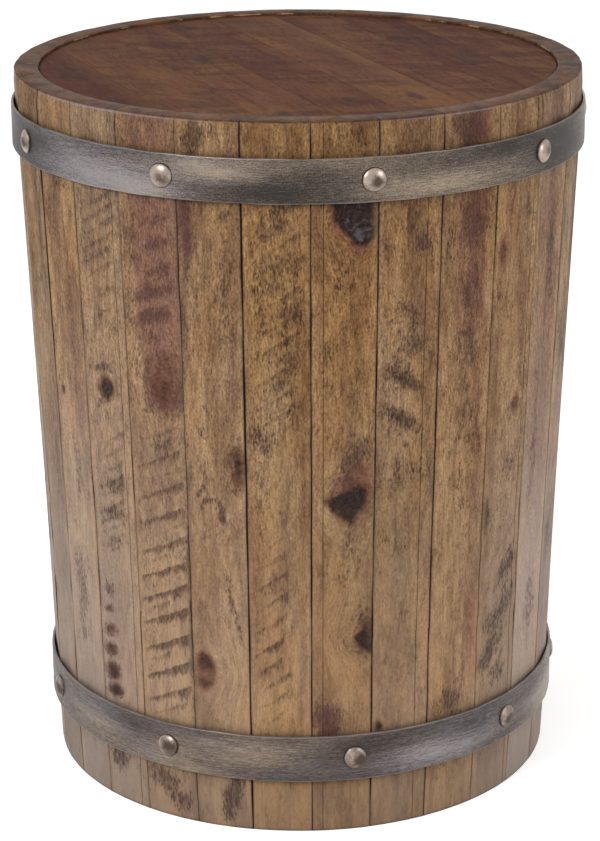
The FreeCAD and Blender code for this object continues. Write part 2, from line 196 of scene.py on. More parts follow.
# Stave: up, first across, last across, strength of one saw mark
stave_saw_marks = {
    2: [(534, -22, 22, 0.65), (523, -22, 22, 0.7), (512, -20, 22, 0.7), (500, -22, 18, 0.72),
        (489, -22, 14, 0.7), (476, -22, 14, 0.6), (456, -20, 16, 0.6), (440, -20, 12, 0.55),
        (420, -18, 14, 0.5), (331, -10, 16, 0.6), (318, -18, 14, 0.6), (305, -18, 14, 0.6),
        (294, -18, 14, 0.8), (286, -16, 14, 0.75), (272, -20, 12, 0.8), (263, -20, 12, 0.75),
        (254, -18, 12, 0.6), (243, -18, 12, 0.55), (235, -16, 12, 0.55)],
    3: [(345, -22, 20, 0.6), (324, -24, 22, 0.78), (310, -4, 24, 0.6), (296, -24, 24, 0.85),
        (274, -24, 24, 0.95), (262, 0, 24, 0.6), (248, -24, 24, 0.95), (238, -18, 8, 0.6),
        (226, -25, 25, 1.0), (206, -25, 25, 1.05), (196, -20, 6, 0.7), (185, -25, 25, 1.1),
        (161, -25, 25, 1.15), (150, -18, 4, 0.75), (136, -25, 25, 1.1), (114, -25, 24, 0.95),
        (100, -18, 18, 0.65), (474, -16, 18, 0.6)],
    5: [(264, -10, 4, 0.6), (249, -14, 5, 0.7), (231, -22, 8, 0.72), (213, -20, 7, 0.75),
        (193, -21, 4, 0.72), (174, -21, 4, 0.95), (157, -20, 2, 0.85), (140, -15, 9, 0.75),
        (124, -16, 6, 0.7), (108, -14, 4, 0.6), (552, -22, 22, 0.6), (536, -22, 22, 0.7),
        (509, -22, 22, 0.7), (488, -22, 22, 0.7), (466, -22, 22, 0.7), (446, -20, 20, 0.75),
        (430, -22, 18, 0.75), (406, -22, 14, 0.75), (386, -20, 16, 0.65), (370, -22, 12, 0.7)],
    8: [(338, -18, 14, 0.4), (326, -16, 16, 0.4), (250, -14, 14, 0.35)],
    9: [(350, -22, 0, 0.4), (300, -22, 20, 0.4), (286, -22, 20, 0.4), (270, -22, 20, 0.45),
        (248, -22, 20, 0.45), (228, -22, 20, 0.5), (208, -22, 20, 0.55), (196, -22, 20, 0.5),
        (180, -22, 20, 0.55), (165, -22, 18, 0.6), (150, -22, 14, 0.6), (134, -22, 12, 0.6),
        (120, -20, 14, 0.55), (104, -18, 16, 0.5)],
    11: [(height, -20, 20, 0.5) for height in (520, 505, 490, 475)],
}

# Stave: how steeply its saw marks rise to the right, in degrees
saw_mark_rise = {2: 28, 3: 23, 5: 31, 8: -12, 9: 46, 11: 32}

# Stave: where a thin glue line runs its full height
stave_glue_lines = {2: 17, 6: -17, 7: 15, 9: 21, 14: -9, 18: 12, 22: -16, 25: 8}

# Stave: lightness, and how red its wood is, from -1 for yellow to 1 for red
stave_tones = {
    1: (1.13, 0.0), 2: (1.08, 0.1), 3: (1.1, -0.1), 4: (1.09, -0.25), 5: (0.96, -0.55),
    6: (0.94, -0.5), 7: (0.97, -0.25), 8: (1.06, 0.1), 9: (1.04, 0.0), 10: (1.14, 0.05),
    11: (1.05, 0.15), 12: (0.95, -0.1), 13: (1.08, 0.1), 14: (0.93, -0.2), 15: (1.02, 0.4),
    16: (1.07, -0.3), 17: (0.9, 0.1), 18: (1.0, -0.1), 19: (1.06, 0.25), 20: (0.94, -0.35),
    21: (1.01, 0.0), 22: (0.92, 0.35), 23: (1.05, -0.2), 24: (0.98, 0.1), 25: (1.08, -0.1),
    26: (0.93, 0.3), 27: (1.0, -0.2), 28: (0.94, -0.35),
}

# Kinds of mark, in the order in which a mesh stores them. A flush is a redder part of the wood.
stain, knot, saw, flush = range(4)

# Stave: kind of mark, strength, softness of its edge, and its outline as across, up
stave_patches = {
    3: [(flush, 0.95, 5, [(-19, 565), (30, 565), (30, 372), (8, 366), (-8, 372), (-13, 420),
                          (-16, 500)]),
        (flush, 0.6, 6, [(-19, 620), (30, 620), (30, 560), (-19, 560)]),
        (flush, 0.4, 8, [(-26, 58), (10, 52), (26, 20), (20, -5), (-20, -5)]),
        (stain, 0.52, 7, [(-15, 410), (4, 424), (24, 418), (29, 395), (27, 368), (10, 358), (-8, 366),
                          (-16, 388)])],
    4: [(flush, 0.8, 5, [(-30, 575), (-14, 575), (-14, 500), (-30, 490)]),
        (flush, 0.55, 5, [(-26, 164), (-12, 166), (-1, 150), (-3, 124), (-26, 118)]),
        (knot, 0.5, 3.5, [(-23, 158), (-14, 162), (-7, 154), (-4, 143), (-7, 131), (-14, 124),
                          (-23, 127), (-25, 142)]),
        (stain, 0.85, 4, [(-20, 160), (-9, 158), (-6, 148), (-17, 145)]),
        (stain, 0.6, 3, [(-26, 150), (-22, 150), (-20, 128), (-26, 126)])],
    6: [(knot, 1.0, 3, [(-12, 560), (27, 560), (25, 538), (25, 525), (22, 515), (14, 511), (7, 513),
                        (4, 519), (-3, 525), (-8, 533)]),
        (flush, 0.65, 4, [(-16, 560), (27, 560), (27, 520), (20, 507), (8, 502), (0, 512), (-12, 524)]),
        (knot, 0.7, 5.5, [(-18, 301), (-6, 304), (3, 310), (12, 313), (21, 309), (22, 297), (16, 287),
                          (8, 276), (-3, 282), (-10, 289)]),
        (flush, 0.75, 3, [(-14, 304), (-6, 316), (2, 323), (13, 333), (25, 326), (26, 300), (4, 305)]),
        (flush, 0.5, 5, [(-2, 288), (18, 290), (12, 262), (6, 256)]),
        (knot, 0.7, 3, [(8, 177), (16, 184), (25, 196), (27, 180), (26, 158), (17, 166)]),
        (flush, 0.5, 6, [(-24, 84), (6, 84), (6, 120), (-24, 120)])],
    7: [(saw, 0.72, 4, [(-8, 464), (2, 462), (12, 450), (10, 442), (0, 450), (-8, 456)]),
        (saw, 0.85, 4, [(-20, 414), (0, 404), (14, 391), (14, 379), (-4, 391), (-20, 402)]),
        (saw, 0.85, 4, [(-20, 380), (-2, 371), (12, 360), (12, 349), (-6, 358), (-20, 369)])],
    8: [(flush, 0.55, 7, [(-22, 610), (22, 610), (20, 420), (-16, 420)])],
    9: [(flush, 0.4, 8, [(-22, 610), (22, 610), (22, 400), (-22, 400)]),
        (flush, 0.8, 4, [(-22, 502), (-12, 504), (-10, 482), (-20, 470)]),
        (flush, 0.8, 4, [(6, 340), (14, 350), (16, 370), (8, 364)])],
    10: [(flush, 0.5, 8, [(-22, 610), (22, 610), (22, 150), (-22, 150)])],
    15: [(flush, 0.8, 6, [(-18, 560), (20, 540), (24, 330), (-12, 300)])],
    22: [(flush, 0.7, 6, [(-24, 330), (16, 350), (20, 120), (-20, 90)])],
}

# Stave: how much paler and greyer its wood is than that of the others
stave_paleness = {
    1: 0.2, 2: 0.65, 3: 0.42, 4: 0.25, 7: 0.2, 8: -0.3, 9: -0.15, 10: 0.4,
    12: 0.5, 16: 0.3, 19: 0.5, 23: 0.4, 27: 0.4,
}

# Stave: height, half height and amount of a broad lighter or darker part
stave_shades = {
    1: [(310, 130, 0.11)],
    3: [(262, 35, 0.08), (190, 40, -0.06)],
    4: [(540, 40, -0.06), (400, 60, -0.07)],
    5: [(390, 80, -0.08), (180, 50, 0.08)],
    6: [(475, 35, 0.12), (230, 90, -0.1)],
    7: [(500, 60, 0.13), (270, 70, -0.19), (110, 30, 0.06)],
    8: [(400, 30, 0.06), (260, 50, -0.06)],
    9: [(510, 80, 0.1), (150, 50, -0.08)],
    10: [(480, 60, -0.04), (210, 100, 0.22)],
}

# Seam to the right of a stave: how wide its dark line is drawn, and how dark
seam_looks = {
    1: (1.5, 0.74), 2: (0.7, 0.79), 3: (2.4, 0.74), 4: (0.76, 0.97), 5: (0.7, 0.88),
    6: (0.8, 0.88), 7: (0.82, 0.9), 8: (0.65, 0.76), 9: (0.65, 0.76), 10: (0.8, 0.8),
}
usual_seam = (0.9, 0.85)


def ellipse(across, up, middle, half_width, half_height, rise=0.0):
    """Soft mask of a tilted ellipse: 1 at its middle, 0.5 at its outline, 0 well outside."""
    turn = math.radians(rise)
    x = across - middle[0] * mm
    z = up - middle[1] * mm
    along = (x * math.cos(turn) + z * math.sin(turn)) / (half_width * mm)
    beside = (z * math.cos(turn) - x * math.sin(turn)) / (half_height * mm)
    return np.clip(1.25 - 0.75 * np.sqrt(along ** 2 + beside ** 2), 0, 1)


def patch(across, up, outline, soft):
    """Soft mask of a closed outline: 1 well inside it, 0.5 on the line, 0 well outside."""
    x, z = across / mm, up / mm
    inside = np.zeros(x.shape, bool)
    nearest = np.full(x.shape, 1e9)
    for (x0, z0), (x1, z1) in zip(outline, outline[1:] + outline[:1]):
        run, climb = x1 - x0, z1 - z0
        share = np.clip(((x - x0) * run + (z - z0) * climb) / (run ** 2 + climb ** 2), 0, 1)
        nearest = np.minimum(nearest, np.hypot(x - x0 - share * run, z - z0 - share * climb))
        if climb:
            inside ^= ((z0 > z) != (z1 > z)) & (x < x0 + (z - z0) * run / climb)
    return np.clip(0.5 + np.where(inside, nearest, -nearest) / (2 * soft), 0, 1)


def saw_mark(across, up, height, first, last, rise, strength):
    """Soft mask of one stroke that a saw left across a board: crisp above, fading out below."""
    share = np.clip((across / mm - first) / (last - first), -0.5, 1.5)
    slope = math.tan(math.radians(rise))
    line = height * mm + across * slope + 3 * mm * share * share
    line = line + 0.7 * mm * wander(across, int(height), 11 * mm)
    depth = (2 + 3 * strength + 9 * strength * np.clip(share, 0, 1) ** 1.5) * mm
    depth = depth * (1 + 0.4 * wander(across, int(height) + 1, 8 * mm))
    off = up - line
    band = np.where(off > 0, 1 - off / (1.8 * mm), 1 - np.clip(-off / depth, 0, 1) ** 2)
    ends = smooth_step(share, -0.08, 0.15) * (1 - smooth_step(share, 0.93, 1.06))
    return np.clip(band, 0, 1) * ends * (0.72 + 0.28 * np.clip(share, 0, 1)) * strength


def invented_marks(number):
    """Marks for a stave that the photograph doesn't show, much like those of the others."""
    dice = random.Random(number * 31 + 5)
    knots = [(dice.uniform(-16, 16), dice.uniform(110, 530), dice.uniform(4, 14),
              dice.uniform(7, 20), dice.uniform(0.5, 0.85)) for _ in range(dice.randint(0, 2))]
    stains = [(dice.uniform(-16, 16), dice.uniform(20, 600), dice.uniform(5, 18),
               dice.uniform(8, 44), dice.uniform(-30, 30), dice.uniform(0.35, 0.75))
              for _ in range(dice.randint(4, 9))]
    saws = []
    rise = dice.choice([-22, 18, 24, 30])
    if dice.random() < 0.4:
        height = dice.uniform(110, 300)
        strength = dice.uniform(0.45, 0.8)
        for _ in range(dice.randint(9, 16)):
            height += dice.uniform(13, 19)
            first, last = dice.uniform(-25, -19), dice.uniform(17, 25)
            saws.append((height, first, last, strength * dice.uniform(0.7, 1)))
    return knots, stains, saws, rise


def stave_marks(number, across, up):
    """Stain, knot, saw mark and flush at each point of a stave."""
    if number in stave_stains:
        knots = stave_knots.get(number, [])
        stains = stave_stains[number]
        saws = stave_saw_marks.get(number, [])
        rise = saw_mark_rise.get(number, 20)
    else:
        knots, stains, saws, rise = invented_marks(number)
    marks = np.zeros((len(across), 4))

    def put(kind, mask):
        marks[:, kind] = np.maximum(marks[:, kind], mask)

    for x, z, wide, high, tilt, strength in stains:
        put(stain, ellipse(across, up, (x, z), wide, high, tilt) * strength)
    for x, z, wide, high, strength in knots:
        put(knot, ellipse(across, up, (x, z), wide, high) * strength)
    for height, first, last, strength in saws:
        put(saw, saw_mark(across, up, height, first, last, rise, strength))
    for kind, strength, soft, outline in stave_patches.get(number, []):
        put(kind, patch(across, up, outline, soft) * strength)
        if kind == knot:
            middle = np.mean(outline, 0)
            knots = knots + [(*middle, 16, 18, strength)]
    return marks, knots


def bent_grain(across, up, knots):
    """Grain that flows round the knots: each point takes its pattern from nearer the knot."""
    bent = across.copy()
    for x, z, wide, high, _ in knots:
        beside = (across - x * mm) / (wide * mm)
        along = (up - z * mm) / (high * 1.6 * mm)
        pull = np.exp(-(beside ** 2 / 4 + along ** 2))
        bent -= (across - x * mm) * pull * 0.75
    return bent


# Staves

seam_gap = 0.12 * mm
rim_rounding = 3.2 * mm
foot_rounding = 1.0 * mm
stave_thickness = 20 * mm
groove_depth = 5 * mm
side_depths = (6 * mm, 13 * mm)
saw_mark_depth = 0.25 * mm
glue_line_depth = 0.3 * mm
glue_line_reach = 0.5 * mm
column_pitch = 2.0 * mm
row_pitch = 2.6 * mm
sawn_row_pitch = 1.5 * mm
slack = 1e-9

# The first ten staves are the ones in full view in the photograph.
last_front_stave = 10

base_low, base_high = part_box("base_panel")
plank_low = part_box(plank_names[0])[0].z
top_radius = max(np.hypot(corners(n)[:, 0], corners(n)[:, 1]).max() for n in plank_names)
opening_radius = top_radius + 0.3 * mm
hoop_edges = [corner.z for name in ("bottom_hoop", "top_hoop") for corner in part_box(name)]


def face_profile(points, out):
    """Heights of a stave's outer corners and how far its face lies from the axis there."""
    reach = points @ out
    height = points[:, 2]
    foot = reach[height < mm].max()
    rim = reach[height > table_height - mm].max()
    straight = foot + (rim - foot) * height / table_height
    outside = (reach > straight - 4 * mm) & (height > 0.5 * mm) & (height < table_height - mm)
    furthest = {}
    for z, distance in zip(np.round(height[outside], 4), reach[outside]):
        furthest[z] = max(furthest.get(z, 0), distance)
    heights = sorted(furthest)
    return heights, [furthest[z] for z in heights]


def stave_rows(number):
    """Heights of a stave's rows, closer together at its ends and where a saw left its marks."""
    ends = np.array([0, 0.25, 0.6, 1.1, 1.8, 2.8, 4.0]) * mm
    pitch = sawn_row_pitch if number in stave_saw_marks else row_pitch
    rows = list(np.arange(5 * mm, table_height - 5 * mm, pitch))
    rows += list(ends) + list(table_height - ends)
    edge = 0.01 * mm
    rows += [base_low.z - edge, base_low.z, base_high.z, base_high.z + edge]
    rows += [plank_low - edge, plank_low]
    return np.array(sorted(rows))


def stave_columns(number, half):
    """Places across a stave's face from -1 to 1, closer together at its edges and glue line."""
    edges = 1 - np.array([0, 0.25, 0.6, 1.1, 1.9]) * mm / half
    count = int((half - 3 * mm) / column_pitch)
    inner = np.linspace(0, 1 - 3 * mm / half, count)
    columns = set(np.round(np.concatenate([edges, inner, -edges, -inner]), 5))
    if number in stave_glue_lines:
        middle = stave_glue_lines[number] * mm / half
        beside = np.array([-0.7, -0.25, 0.25, 0.7]) * mm / half
        columns = {c for c in columns if abs(c - middle) > 1.0 * mm / half}
        columns |= set(np.round(middle + beside, 5))
    return np.array(sorted(columns))


def on_glue_line(number, across, half):
    """Whether each point lies on the stave's glue line, if it has one."""
    if number not in stave_glue_lines:
        return np.zeros(across.shape, bool)
    line = stave_glue_lines[number] * mm * half / half.max()
    return np.abs(across - line) < glue_line_reach


def stave_place(name):
    """A stave's angle, half its width per distance from the axis, and the line of its face."""
    points = corners(name)
    inner_reach = 200 * mm
    outer = points[np.hypot(points[:, 0], points[:, 1]) > inner_reach]
    middle = outer[:, :2].mean(0)
    guess = math.atan2(middle[0], -middle[1])
    angles = np.arctan2(outer @ sideways(guess), outer @ direction(guess))
    angle = guess + (angles.max() + angles.min()) / 2
    spread = math.tan((angles.max() - angles.min()) / 2)
    return angle, spread, face_profile(points, direction(angle))


def face_drop(number, face, spread, across, up, sawn):
    """How far the worn face lies inside its flat: edges, rim, foot, saw marks and glue line."""
    dice = random.Random(number)
    half = face * spread - seam_gap
    from_edge = half - np.abs(across)
    below_rim = table_height - up
    chips = 1 + 0.55 * wander(up * np.sign(across), number * 7 + 1, 60 * mm)
    arc = across + number * 2 * half
    rim_wear = rim_rounding * (1 + 0.16 * wander(arc, 5, 75 * mm) + 0.06 * wander(arc, 6, 21 * mm))
    drop = rounding(from_edge, dice.uniform(0.35, 0.6) * mm * chips)
    drop = drop + rounding(below_rim, rim_wear) + rounding(up, foot_rounding)
    roundness = smooth_step(below_rim, 1 * mm, 14 * mm) * smooth_step(up, -10 * mm, 60 * mm)
    circle = face * (1 + (math.hypot(1, spread) - 1) * (0.02 + 0.85 * roundness))
    drop = drop + np.clip(face - np.sqrt(circle ** 2 - across ** 2), 0, None)
    drop = drop + sawn * saw_mark_depth
    drop = drop - wander(up + across * 0.6, number * 7 + 3, 90 * mm) * 0.12 * mm * (from_edge > 2 * mm)
    return drop + glue_line_depth * on_glue_line(number, across, half)


def seam_dirt(number, across, up, half):
    """Dirt beside a stave's seams: 1 in the seam, fading out a few millimetres away."""
    left = seam_looks.get(number - 1, usual_seam)
    right = seam_looks.get(number, usual_seam)
    width = np.where(across > 0, right[0], left[0])
    strength = np.where(across > 0, right[1], left[1])
    uneven = 1 + 0.12 * wander(up, number * 7 + 6, 160 * mm) * np.sign(across)
    return np.clip(1 - (half - np.abs(across)) / (width * 4 * mm), 0, 1) * strength * uneven


def stave_back(number, rows, face, spread):
    """A stave's sides and inner face, with the groove for the base and the opening for the top."""
    sides = np.array([1, 1, 1, 0.75, 0.5, 0.25, 0, -0.25, -0.5, -0.75, -1, -1, -1])
    column = np.arange(len(sides))
    groove = ((rows >= base_low.z - slack) & (rows <= base_high.z + slack))[:, None]
    reach = np.repeat(face - stave_thickness + groove * groove_depth, len(sides), 1)
    for i, depth in enumerate(side_depths):
        reach[:, [i, -1 - i]] = face - depth
    across = sides * (reach * spread - seam_gap)
    chips = rounding(table_height - rows, 0.7 * mm)[:, None]
    chips = chips * (1 + 0.7 * wander(number * 50 * mm + sides * 25 * mm, 8, 14 * mm))
    opening = np.sqrt(opening_radius ** 2 - across ** 2) + chips
    in_opening = (rows >= plank_low - slack)[:, None] & (column > 1) & (column < len(sides) - 2)
    return across, np.where(in_opening, opening, reach), in_opening


def stave_shade(number, up):
    """How light a stave's wood is at each height, with painted shade by height and a painted shadow
    beside each hoop.
    """
    # Painted shade: a little darker at the foot, lightest about 120 mm up, and darker towards the rim.
    shade = stave_tones[number][0] * np.interp(up, [0, 0.07, 0.12, 0.3, 0.45, 0.6],
                                               [0.98, 1.02, 1.17, 1.05, 0.94, 0.82])
    for middle, half_height, amount in stave_shades.get(number, []):
        shade = shade * (1 + amount * np.exp(-((up / mm - middle) / half_height) ** 2))
    if number > last_front_stave:
        shade = shade * (1 + 0.06 * wander(up, number * 7 + 9, 300 * mm))
    # Painted shadow along each edge of the hoops.
    for edge in hoop_edges:
        shade = shade * (1 - 0.3 * np.exp(-np.abs(up - edge) / (4 * mm)))
    return shade


def stave_tone(number, across, up, half, on_face):
    """Lightness with its painted shade, redness, dirt in the seams and pale wear beside them, at each
    point.
    """
    redness = stave_tones[number][1] - 0.35 * smooth_step(up, 0.3, 0.55)
    dirt = seam_dirt(number, across, up, half) * on_face
    dirt = np.maximum(dirt, 0.78 * on_glue_line(number, across, half) * on_face)
    from_side = half - np.abs(across)
    worn = smooth_step(from_side, 0, 1.5 * mm) * (1 - smooth_step(from_side, 3 * mm, 6 * mm)) * on_face
    worn = worn * (0.5 + 0.5 * wander(up * np.sign(across), number * 7 + 5, 150 * mm))
    return [stave_shade(number, up), redness, dirt, np.clip(worn, 0, 1)]


def stave_wear_and_sheen(number, turn, across, up, half, on_face, in_opening):
    """End grain, foot, paleness with painted sheen, and worn rim with painted sheen at each point; the
    inner rim's chips are below 0.
    """
    end = np.maximum(np.clip(1 - (table_height - up) / (2.2 * mm), 0, 1), in_opening)
    foot = np.clip(1 - up / (3 * mm), 0, 1)
    # Paler, greyer wood: each stave's own paleness, a paler foot, and a painted sheen low down that is
    # strongest on the table's left and right sides as seen from the front.
    sheen_on_sides = smooth_step(np.abs(turn), 0.55, 1.0) * (1 - smooth_step(np.abs(turn), 1.3, 2.3))
    bleached = smooth_step(up, 0.46, 0.15) * (0.5 + 1.5 * sheen_on_sides) + stave_paleness.get(number, 0)
    bleached = bleached + 0.35 * smooth_step(up, 0.05, 0.03)
    # Painted sheen on the rim's rounded outer edge, brightest towards the front left and front right,
    # over light wear all round.
    rim_edge = on_face * np.exp(-((table_height - 1.5 * mm - up) / (1.2 * mm)) ** 2)
    rim_edge = rim_edge * (0.3 + 0.7 * np.exp(-((turn + 0.7) / 0.45) ** 2)
                           + 0.5 * np.exp(-((turn - 0.6) / 0.3) ** 2))
    inner_edge = in_opening * np.exp(-((table_height - 0.8 * mm - up) / (0.9 * mm)) ** 2)
    inner_edge = inner_edge * smooth_step(wander(across + number * 2 * half.max(), 9, 70 * mm), -0.1, 0.6)
    return [end, foot, bleached, rim_edge - inner_edge]


def make_stave(name, material):
    number = int(name[-2:])
    angle, spread, (heights, distances) = stave_place(name)
    rows = stave_rows(number)
    face = np.interp(rows, heights, distances)[:, None]
    half = face * spread - seam_gap
    columns = stave_columns(number, face[-1, 0] * spread)
    back_across, back_reach, in_opening = stave_back(number, rows, face, spread)

    across = np.concatenate([columns * half, back_across], 1)
    up = np.repeat(rows[:, None], across.shape[1], 1)
    front = np.s_[:, :len(columns)]
    on_face = np.zeros(across.shape, bool)
    on_face[front] = True
    in_opening = np.concatenate([np.zeros((len(rows), len(columns)), bool), in_opening], 1)
    marks, knots = stave_marks(number, across.ravel(), up.ravel())
    sawn = marks[:, saw].reshape(across.shape)[front]
    drop = face_drop(number, face, spread, across[front], up[front], sawn)
    reach = np.concatenate([face - drop, back_reach], 1)
    points = (reach[..., None] * direction(angle) + across[..., None] * sideways(angle)
              + up[..., None] * np.array([0, 0, 1.0])).reshape(-1, 3)

    dice = random.Random(number)
    grain = columns_of([bent_grain(across, up, knots), up, face - reach])
    grain += np.array([dice.uniform(-5, 5) for _ in range(3)])
    marks[~on_face.ravel(), :3] *= 0.3
    turn = (angle + across / face[-1, 0] + math.pi) % (2 * math.pi) - math.pi
    tone = stave_tone(number, across, up, half, on_face)
    wear_and_painted_light = stave_wear_and_sheen(number, turn, across, up, half, on_face, in_opening)
    return new_piece("detailed_" + name, points, tube_faces(len(rows), across.shape[1]),
                     {"grain": grain, "marks": marks, "tone": columns_of(tone), "wear_and_painted_light": columns_of(wear_and_painted_light)},
                     material, [name])


# Round top of planks. Along and across follow the planks' grain.

plank_angle = math.radians(112)
plank_along = np.array([math.cos(plank_angle), math.sin(plank_angle), 0])
plank_across = np.array([math.sin(plank_angle), -math.cos(plank_angle), 0])

# Place on the top from its centre, to the right and to the back; half length, half width, strength
top_knots = [
    (-102, 157, 14, 8, 0.8), (90, 104, 15, 8, 0.85), (-82, 14, 13, 8, 0.8),
    (92, -135, 15, 6, 0.85), (41, -148, 11, 6, 0.7), (-12, -198, 12, 6, 0.8), (20, -95, 9, 5, 0.5),
]
top_shades = [
    (-184, -49, 30, 18, 0.6), (143, 16, 40, 16, 0.6), (30, 60, 60, 12, 0.5), (-60, -60, 70, 10, 0.45),
    (-140, 60, 40, 10, 0.45), (60, -60, 60, 10, 0.5), (0, 150, 50, 10, 0.45), (-30, 20, 40, 12, 0.4),
]

# Plank: lightness, redness
plank_tones = {
    1: (0.86, 0.9), 2: (1.05, -0.4), 3: (1.04, -0.1), 4: (1.02, 0.35), 5: (1.14, -0.35),
    6: (1.13, 0.1), 7: (0.95, 0.5), 8: (1.02, -0.1),
}
light_edged_planks = (1, 5)


def on_top(x, y):
    """A place on the top, given to the right and to the back, as across and along the grain."""
    place = np.array([x, y, 0])
    return place @ plank_across, place @ plank_along


def plank_grid(near, far):
    """Places across and along a plank, closer together at its edges and ends."""
    edge = np.array([0, 0.2, 0.5, 0.9]) * mm
    inner = np.linspace(near + 1.6 * mm, far - 1.6 * mm, 16)
    columns = np.concatenate([near + edge, inner, (far - edge)[::-1]])
    ends = 1 - np.array([0, 0.3, 0.8, 1.6, 2.6]) * mm / top_radius
    rows = np.concatenate([-ends, np.linspace(-0.98, 0.98, 130), ends[::-1]])
    across = np.repeat(columns[None, :], len(rows), 0)
    return across, rows[:, None] * np.sqrt(top_radius ** 2 - across ** 2)


def plank_marks(across, along):
    """Knots and shades at each point of the top."""
    marks = np.zeros((len(across), 4))
    for kind, spots in ((knot, top_knots), (stain, top_shades)):
        for x, y, long, wide, strength in spots:
            mask = ellipse(across, along, on_top(x, y), wide, long)
            marks[:, kind] = np.maximum(marks[:, kind], mask * strength)
    return marks


def make_plank(name, material):
    number = int(name[-1])
    low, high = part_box(name)
    span = corners(name) @ plank_across
    near = max(span.min(), -top_radius + 0.05 * mm)
    far = min(span.max(), top_radius - 0.05 * mm)
    across, along = plank_grid(near, far)
    levels, columns = across.shape

    near_joint = near if number > 1 else -top_radius
    far_joint = far if number < len(plank_names) else top_radius
    from_joint = np.minimum(across - near_joint, far_joint - across)
    joint_wear = 0.18 * mm * (1 + 0.5 * wander(along, number * 5, 70 * mm))
    from_rim = top_radius - np.hypot(across, along)
    height = high.z - rounding(from_rim, 0.5 * mm) - rounding(from_joint, joint_wear)
    height = height - 0.12 * mm * (1 + wander(across + along * 0.2, number * 5 + 1, 45 * mm))
    over_and_under = ((across, across), (along, along), (height, np.full_like(height, low.z)))
    across, along, up = [np.concatenate([over, under[:, ::-1]], 1).ravel()
                         for over, under in over_and_under]
    points = np.outer(across, plank_across) + np.outer(along, plank_along) + np.outer(up, [0, 0, 1.0])

    dice = random.Random(number + 70)
    knots = [(*on_top(x, y), wide, long, strength) for x, y, long, wide, strength in top_knots]
    grain = np.stack([bent_grain(across, along, knots), along, high.z - up], 1)
    grain += np.array([dice.uniform(-5, 5) for _ in range(3)])
    lightness, redness = plank_tones[number]
    # Painted shade: the top darker towards the back.
    lightness = lightness * np.interp(points[:, 1], [-0.2, 0, 0.2], [1.05, 1.0, 0.9])
    from_joint = np.minimum(across - near, far - across)
    dirt = np.clip(1 - from_joint / (0.6 * mm), 0, 1) * (0.3 + 0.25 * wander(along, number * 3, 120 * mm))
    light_edge = smooth_step(far - across, 22 * mm, 2 * mm) * (number in light_edged_planks)
    # Painted shadow round the top's edge, where it sits below the staves' rim.
    rim = np.clip(1 - (top_radius - np.hypot(across, along)) / (3 * mm), 0, 1)
    none = np.zeros(len(points))
    tone = columns_of([lightness, none + redness, dirt, light_edge])
    return new_piece("detailed_" + name, points, tube_faces(levels, 2 * columns, ladder_ends=True),
                     {"grain": grain, "marks": plank_marks(across, along), "tone": tone,
                      "wear_and_painted_light": columns_of([rim, none, none])}, material, [name])


# Hoops, nails and rivets

hoop_thickness = 2 * mm
lap_length = 38 * mm
step_length = 9 * mm
lap_clearance = 0.1 * mm
hoop_edge_rounding = 0.7 * mm
hoop_steps = 760

# Rows across a hoop's outer face, from its upper edge at 0 to its lower edge at 1
hoop_shares = np.array([0, 0.004, 0.012, 0.03, 0.07, 0.14, 0.23, 0.33, 0.44, 0.56, 0.67, 0.77, 0.86,
                        0.93, 0.97, 0.988, 0.996, 1.0])

# Hoop: middle angle in degrees, half length in degrees, height from its lower edge as a share, half
# height as a share, and how light the metal is there, or how dark if below zero: rubbed finish and
# painted reflection
rubbed_and_reflection_places = {
    "top_hoop": [
        (-44, 13, 0.3, 0.5, 0.85), (-62, 8, 0.6, 0.5, -0.25), (-14, 13, 0.72, 0.35, 0.72),
        (-30, 8, 0.15, 0.25, 0.8), (-6, 10, 0.15, 0.35, -0.35), (2, 14, 0.4, 0.5, -0.28),
        (14, 9, 0.7, 0.3, 0.1), (22, 12, 0.25, 0.3, 0.42), (34, 10, 0.3, 0.35, 0.3),
        (48, 9, 0.35, 0.5, 0.2), (40, 10, 0.85, 0.25, -0.4), (62, 10, 0.5, 0.6, -0.5),
        (-70, 8, 0.4, 0.6, -0.2), (8, 8, 0.9, 0.2, 0.3),
    ],
    "bottom_hoop": [
        (-50, 16, 0.5, 0.6, 0.42), (-26, 12, 0.25, 0.4, 0.45), (-8, 12, 0.6, 0.4, 0.35),
        (3, 10, 0.3, 0.4, -0.08), (28, 12, 0.3, 0.35, 0.5), (40, 14, 0.5, 0.5, 0.15),
        (14, 8, 0.75, 0.3, -0.3), (62, 10, 0.5, 0.6, -0.08), (-38, 8, 0.8, 0.3, -0.2),
    ],
}

# Hoop: how cool its metal's colour is all over, and the angle, spread and amount of a cooler part
cool_places = {"top_hoop": (0.0, -48, 24, 1.0), "bottom_hoop": (0.3, 38, 20, 0.5)}
hoop_speckling = {"top_hoop": 1.15, "bottom_hoop": 0.45}
nail_dullness = {"top_hoop_nails": 0.0, "bottom_hoop_nails": 0.32, "hoop_rivets": 0.15}

# Width and height of the head, width and length of the shank
nail_sizes = (20.2 * mm, 4.4 * mm, 3.2 * mm, 18 * mm)
rivet_sizes = (10 * mm, 2.4 * mm, 5 * mm, 4.1 * mm)


def hoop_radius(name):
    points = corners(name)
    return np.hypot(points[:, 0], points[:, 1]).min()


def lap_angle(name):
    """The angle of the middle of a hoop's lap, where its metal lies furthest out."""
    points = corners(name)
    distance = np.hypot(points[:, 0], points[:, 1])
    outer = points[distance > distance.max() - 0.3 * mm].mean(0)
    return math.atan2(outer[0], -outer[1])


def degrees_off(turn, middle):
    """How many degrees each point lies from a middle angle, the short way round."""
    return (np.degrees(turn) - middle + 180) % 360 - 180


